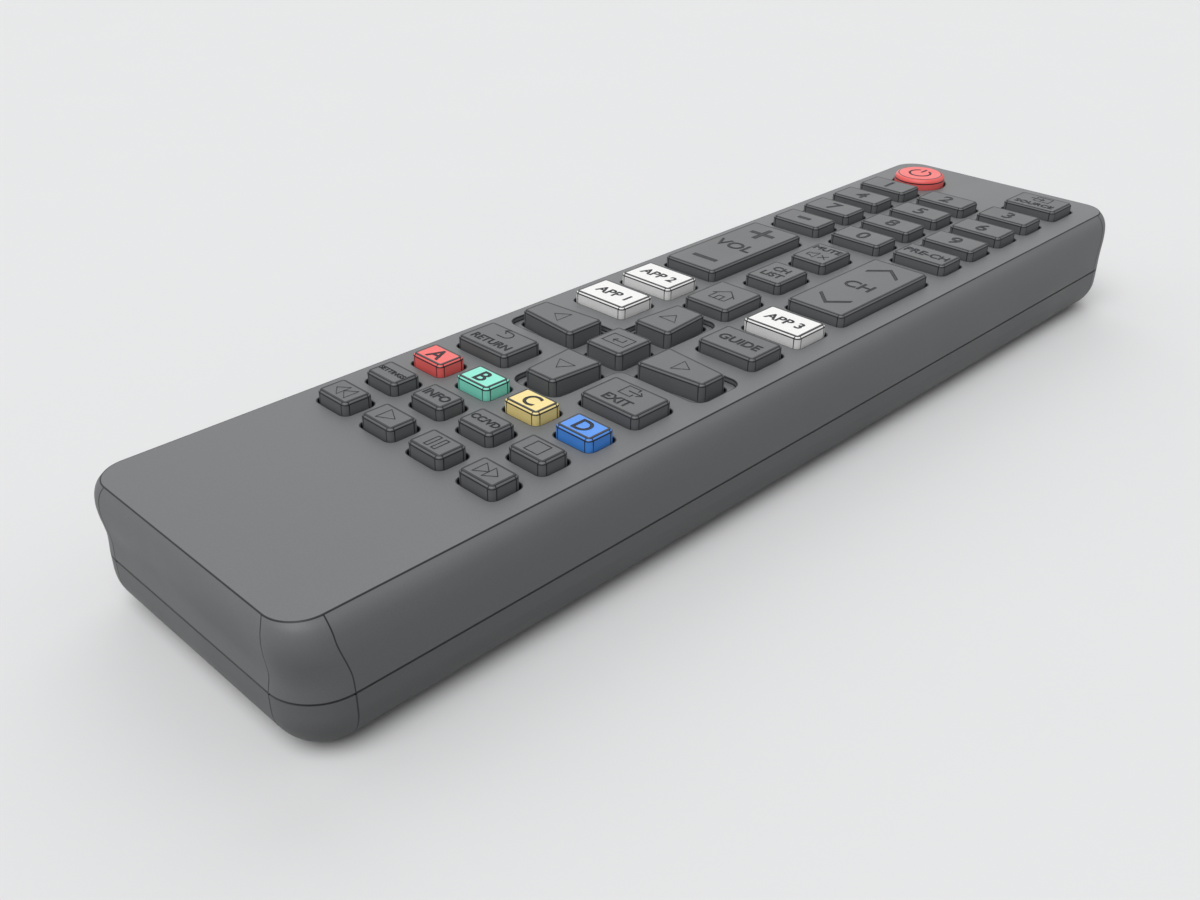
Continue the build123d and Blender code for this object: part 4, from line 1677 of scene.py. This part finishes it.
def chevron(tip: float, feet: float, spread: float, bar: float, steepness: float = 1.25) -> Bar:
    """A bent bar from foot to tip to foot.

    Args:
        tip: height of its tip above the key's middle.
        feet: height of its feet.
        spread: how far each foot is from the middle.
        bar: how thick the bar is.
        steepness: how much taller than thick the slanting bar is.

    Returns:
        The bent bar, as one shape.
    """
    way = 1 if tip > feet else -1
    steep = bar * steepness * way
    outer = ((-spread, feet), (0.0, tip), (spread, feet))
    inner = ((spread, feet - steep), (0.0, tip - steep), (-spread, feet - steep))
    return Bar(outer + inner)


@dataclass
class Legends:
    """The signs and words on the keys, printed a hair above each key's top. Its sizes are in millimetres."""

    line: float = 0.14
    rim_share: float = 0.075
    fill_height: float = 0.02
    line_height: float = 0.05
    sink: float = 0.004
    curve_steps: int = 4

    def marks(self) -> dict[str, list[Mark]]:
        """What each key shows.

        Returns:
            The marks of each key, by its node's name.
        """
        play = (Sign.REWIND, Sign.PLAY, Sign.PAUSE, Sign.FORWARD, Sign.STOP)
        ways = (Sign.UP, Sign.DOWN, Sign.LEFT, Sign.RIGHT)
        shown: dict[str, list[Mark]] = {f"key_{kind.name.lower()}": kind.at() for kind in play + ways}
        shown |= {
            "key_settings": [Word("SETTINGS", 1.25, 4.9)],
            "key_info": [Word("INFO", 1.6, 4.4)],
            "key_captions": [Word("CC/VD", 1.5, 4.7)],
            "key_red": [Word("A", 2.4, 3.0)],
            "key_green": [Word("B", 2.4, 3.0)],
            "key_yellow": [Word("C", 2.4, 3.0)],
            "key_blue": [Word("D", 2.4, 3.0)],
            "key_return": [Word("RETURN", 1.5, 7.2, (0, -1.3)), *Sign.RETURN.at(1.5)],
            "key_exit": [Word("EXIT", 1.5, 5.4, (0, -1.4)), *Sign.EXIT.at(1.35)],
            "key_guide": [Word("GUIDE", 1.7, 6.8)],
            "key_shortcut_1": [Word("APP 1", 1.8, 7.0)],
            "key_shortcut_2": [Word("APP 2", 1.8, 7.0)],
            "key_shortcut_3": [Word("APP 3", 1.8, 7.0)],
            "key_home": Sign.HOME.at(),
            "key_channel_list": [Word("CH", 1.5, 4.8, (0, 1.2)), Word("LIST", 1.5, 4.8, (0, -1.2))],
            "key_mute": [Word("MUTE", 1.4, 5.0, (0, 1.9)), *Sign.MUTE.at(-1.2)],
            "key_dash": [Bar(((-1.2, -0.35), (1.2, -0.35), (1.2, 0.35), (-1.2, 0.35)))],
            "key_previous": [Word("PRE-CH", 1.7, 7.6)],
            "key_source": [Word("SOURCE", 1.5, 7.0, (0, -1.5)), *Sign.SOURCE.at(1.4)],
            "key_ok": Sign.ENTER.at(),
            "key_power": Sign.POWER.at(),
            "rocker_volume": [
                plus_sign(7.1, 4.6, 0.75),
                Word("VOL", 2.6, 7.2),
                Bar(((-2.3, -7.75), (2.3, -7.75), (2.3, -7.0), (-2.3, -7.0))),
            ],
            "rocker_channel": [
                chevron(8.8, 6.2, 2.7, 0.5),
                Word("CH", 2.6, 4.6),
                chevron(-8.8, -6.2, 2.7, 0.5),
            ],
        }
        shown |= {f"key_{digit}": [Word(str(digit), 2.9, 3.2)] for digit in range(10)}
        return shown

    def converted(self, data: bpy.types.Curve, width: float) -> bpy.types.Mesh:
        """Mesh of a curve or text, which is removed.

        Args:
            data: the curve or text.
            width: width of the rods along its lines, or 0 for filled plates.

        Returns:
            The mesh.
        """
        if width:
            data.bevel_depth = width / 2
            data.bevel_resolution = 0
        else:
            data.extrude = self.fill_height
        holder = put("mark", data)
        bpy.context.view_layer.update()
        mesh = bpy.data.meshes.new_from_object(holder.evaluated_get(bpy.context.evaluated_depsgraph_get()))
        bpy.data.objects.remove(holder)
        bpy.data.curves.remove(data)
        return mesh

    def curve(self, points: tuple[Point, ...], closed: bool, width: float = 0.0) -> bpy.types.Mesh:
        """Mesh of a flat polyline.

        Args:
            points: its points.
            closed: whether it ends where it starts.
            width: width of the rod along it, or 0 for a filled plate.

        Returns:
            The mesh.
        """
        data = bpy.data.curves.new("mark", "CURVE")
        data.dimensions, data.fill_mode = ("3D", "FULL") if width else ("2D", "BOTH")
        data.use_fill_caps = bool(width)
        spline = data.splines.new("POLY")
        spline.points.add(len(points) - 1)
        for place, point in zip(spline.points, points):
            place.co = (*point, 0.0, 1.0)
        spline.use_cyclic_u = closed
        return self.converted(data, width)

    def letters(self, text: str, rim: float = 0.0) -> bpy.types.Mesh:
        """Mesh of a text, one unit high.

        Args:
            text: what it says.
            rim: width of the rods round its letters, or 0 for filled plates.

        Returns:
            The mesh.
        """
        data = bpy.data.curves.new("word", "FONT")
        data.body = text
        data.resolution_u = self.curve_steps
        data.fill_mode = "NONE" if rim else "BOTH"
        return self.converted(data, rim)

    def word(self, word: Word) -> list[tuple[bpy.types.Mesh, bool]]:
        """The filled letters of a word and their rims, both fitted to the word's room.

        Args:
            word: the word.

        Returns:
            The two meshes, and whether each is a filled plate.
        """
        fill = self.letters(word.text)
        (left, low), (right, high) = extent([vertex.co for vertex in fill.vertices])
        scale = min(word.width / (right - left), word.height / (high - low))
        centre = Vector(((right + left) / 2, (high + low) / 2, 0.0))
        place = Matrix.Translation((*word.middle, 0.0)) @ Matrix.Scale(scale, 4) @ Matrix.Translation(-centre)
        rims = self.letters(word.text, min(self.line, self.rim_share * word.height) / scale)
        fill.transform(place)
        rims.transform(place)
        return [(fill, True), (rims, False)]

    def meshes(self, mark: Mark) -> list[tuple[bpy.types.Mesh, bool]]:
        """The shapes of one mark.

        Args:
            mark: the mark.

        Returns:
            Its meshes in millimetres, and whether each is a filled plate.
        """
        if isinstance(mark, Word):
            return self.word(mark)
        if isinstance(mark, Bar):
            plate, rim = (self.curve(mark.corners, True, width) for width in (0.0, self.line))
            return [(plate, True), (rim, False)]
        return [(self.curve(mark.points, mark.closed, mark.width), False)]

    def flatten(self, mesh: bpy.types.Mesh, height: float) -> None:
        """Squeeze a mesh in millimetres to a height above the key's top, its foot a hair below it.

        Args:
            mesh: the mesh.
            height: how high it stands.
        """
        tallest = max(vertex.co.z for vertex in mesh.vertices)
        half = (height + self.sink) / 2
        mesh.transform(Matrix.Diagonal((1.0, 1.0, half / tallest, 1.0)))
        mesh.transform(Matrix.Translation((0.0, 0.0, half - self.sink)))

    def build(self, cap: KeyCap, marks: list[Mark], finishes: Finishes) -> bpy.types.Object:
        """Build one key's legend on its top and let it ride with the key.

        Args:
            cap: the key.
            marks: what it shows.
            finishes: the finishes of the remote.

        Returns:
            The legend.
        """
        place = Matrix.Translation((*middle_of(cap.node), cap.top)) @ Matrix.Scale(MM, 4)
        shape = bmesh.new()
        for mark in marks:
            for mesh, filled in self.meshes(mark):
                self.flatten(mesh, self.fill_height if filled else self.line_height)
                for polygon in mesh.polygons:
                    polygon.material_index = int(filled)
                mesh.transform(place)
                shape.from_mesh(mesh)
                bpy.data.meshes.remove(mesh)
        name = f"legend_{cap.node}"
        mesh = bpy.data.meshes.new(name)
        shape.to_mesh(mesh)
        shape.free()
        legend = put(name, mesh)
        dress(legend, finishes.of(finishes.legend_line), finishes.of(finishes.legend_fill))
        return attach(legend, cap.body)


@dataclass
class InnerPieces:
    """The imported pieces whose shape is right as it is, and the finish that each gets."""

    # painted shade: how much darker than the case plastic the lower shell and battery cover are coloured, standing
    # in for the shade the lower half sits in
    lower_shade: float = 0.84

    def finishes(self, shared: Finishes) -> dict[str, Finish]:
        """The finish of each node.

        Args:
            shared: the finishes of the remote.

        Returns:
            The finishes, by the name of the node.
        """
        low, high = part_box("battery_cells")
        seam = UpperShell().section(1.0)
        corner = Vector(seam.corners[2]) - Vector((seam.radius, seam.radius))
        # the lower shell and battery cover are the case plastic darkened: painted shade, not a different plastic
        lower = replace(shared.case, name="cover_plastic", colour=shade(shared.case.colour, self.lower_shade))
        return {
            "lower_case": replace(lower, name="lower_case_plastic", corner_lines=CornerLines(*corner)),
            "battery_cover": lower,
            "infrared_window": DarkWindow(),
            "battery_cells": CellJacket(near=low.y, far=high.y),
            "spring_contacts": Metal("spring_wire", (0.72, 0.72, 0.7), 0.25),
            "plate_contacts": Metal("contact_sheet", (0.74, 0.73, 0.7), 0.3, (1.0, 1.0, 0.1)),
            "circuit_board": SolderMask(),
            "control_chip": Moulding("chip_epoxy", (0.018, 0.018, 0.02)),
            "resonator": Metal("resonator_can", (0.66, 0.66, 0.64), 0.32),
            "capacitor": Moulding("capacitor_sleeve", (0.012, 0.03, 0.11), 0.35),
            "transistor": Moulding("transistor_epoxy", (0.02, 0.02, 0.022)),
            "chip_resistors": Moulding("resistor_ceramic", (0.05, 0.05, 0.055), 0.4),
            "infrared_emitter": ClearResin(),
        }

    def build(self, shared: Finishes) -> None:
        """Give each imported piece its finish.

        Args:
            shared: the finishes of the remote.
        """
        for node, finish in self.finishes(shared).items():
            dress(frame["nodes"][node], shared.of(finish))
            log.info("%s: %s", node, finish.name)


@dataclass(frozen=True)
class Lamp:
    """One soft lamp far away: the way to it, how wide it looks in degrees, and the light that it gives."""

    name: str
    way: Triple
    spread: float
    strength: float

    def hang(self) -> None:
        """Add the lamp to the scene."""
        data = bpy.data.lights.new(self.name, "SUN")
        data.angle, data.energy = radians(self.spread), self.strength
        lamp = put(self.name, data)
        lamp.rotation_euler = Vector(self.way).to_track_quat("Z", "Y").to_euler()


@dataclass
class Studio:
    """A plain pale floor, soft lamps and the camera at the photograph's viewing angle."""

    camera_place: Triple = (0.10653, -0.12904, 0.09065)
    camera_way: Triple = (-0.612372, 0.612372, -0.5)
    lens: float = 37.09
    sensor: float = 36.0
    nearest: float = 0.005
    farthest: float = 50.0
    floor_half: float = 60.0
    floor_drop: float = 0.02 * MM
    floor_shown: Colour = (0.76, 0.765, 0.77)
    floor_bounce: Colour = (0.05, 0.05, 0.05)
    floor_roughness: float = 0.9
    fibre: float = 40 * MM
    paper_shades: Point = (0.99, 1.01)
    sky: float = 0.28
    sky_shown: Colour = (0.76, 0.765, 0.77)
    lamps: tuple[Lamp, ...] = (
        Lamp("key_softbox", (0.22, -0.45, 0.86), 50.0, 2.0),
        Lamp("back_softbox", (-0.61, 0.61, 0.5), 60.0, 0.8),
        Lamp("left_softbox", (-0.61, -0.6, 0.52), 60.0, 0.35),
        Lamp("right_softbox", (0.6, 0.61, 0.52), 60.0, 0.25),
    )

    def floor(self) -> None:
        """Lay the floor: pale where it is seen, darker in what it throws back on the remote's sides."""
        mesh = bpy.data.meshes.new("floor")
        corners = rectangle(0, 0, 2 * self.floor_half, 2 * self.floor_half)
        mesh.from_pydata([(*corner, -self.floor_drop) for corner in corners], [], [(0, 1, 2, 3)])
        floor = put("floor", mesh)
        graph = Graph("floor_paper")
        paper = graph.tint(graph.noise(self.fibre, detail=3.0), self.floor_shown, self.paper_shades)
        path = graph.node("ShaderNodeLightPath")
        seen = path.outputs["Is Camera Ray"]
        for ray in ("Is Glossy Ray", "Is Transmission Ray"):
            seen = graph.math("MAXIMUM", seen, path.outputs[ray])
        graph.paint(graph.mix(seen, self.floor_bounce, paper))
        graph.set(Roughness=self.floor_roughness, Specular_IOR_Level=0.0)
        dress(floor, graph.material)

    def world(self) -> None:
        """Set an even pale surround that lights the remote at one level and is seen at another."""
        world = bpy.data.worlds.new("surround")
        world.use_nodes = True
        tree = world.node_tree
        tree.nodes.clear()
        output = tree.nodes.new("ShaderNodeOutputWorld")
        blend = tree.nodes.new("ShaderNodeMixShader")
        lit, shown = (tree.nodes.new("ShaderNodeBackground") for _ in range(2))
        lit.inputs["Color"].default_value = (1.0, 1.0, 1.0, 1.0)
        lit.inputs["Strength"].default_value = self.sky
        shown.inputs["Color"].default_value = (*self.sky_shown, 1.0)
        path = tree.nodes.new("ShaderNodeLightPath")
        tree.links.new(path.outputs["Is Camera Ray"], blend.inputs["Fac"])
        tree.links.new(lit.outputs["Background"], blend.inputs[1])
        tree.links.new(shown.outputs["Background"], blend.inputs[2])
        tree.links.new(blend.outputs["Shader"], output.inputs["Surface"])
        bpy.context.scene.world = world

    def camera(self) -> None:
        """Set the camera."""
        data = bpy.data.cameras.new("camera")
        data.lens, data.sensor_width = self.lens, self.sensor
        data.clip_start, data.clip_end = self.nearest, self.farthest
        camera = put("camera", data)
        camera.location = self.camera_place
        camera.rotation_euler = Vector(self.camera_way).to_track_quat("-Z", "Y").to_euler()
        bpy.context.scene.camera = camera

    def build(self) -> None:
        """Set up the whole studio."""
        self.floor()
        for lamp in self.lamps:
            lamp.hang()
        self.world()
        self.camera()
        bpy.context.scene.view_settings.view_transform = "Standard"


def main() -> None:
    """Build every piece in order and report it."""
    logging.basicConfig(level=logging.INFO, format="%(message)s")
    finishes = Finishes()
    Studio().build()
    caps = {cap.node: cap for cap in Keypad().caps()}
    for cap in caps.values():
        log.info("%s rides on %s", cap.build(finishes).name, cap.body)
    log.info("%s rides on case", UpperShell().build(caps, finishes).name)
    KeypadMat().build(caps, finishes)
    legends = Legends()
    for node, marks in legends.marks().items():
        log.info("%s", legends.build(caps[node], marks, finishes).name)
    InnerPieces().build(finishes)


if __name__ == "__main__":
    main()
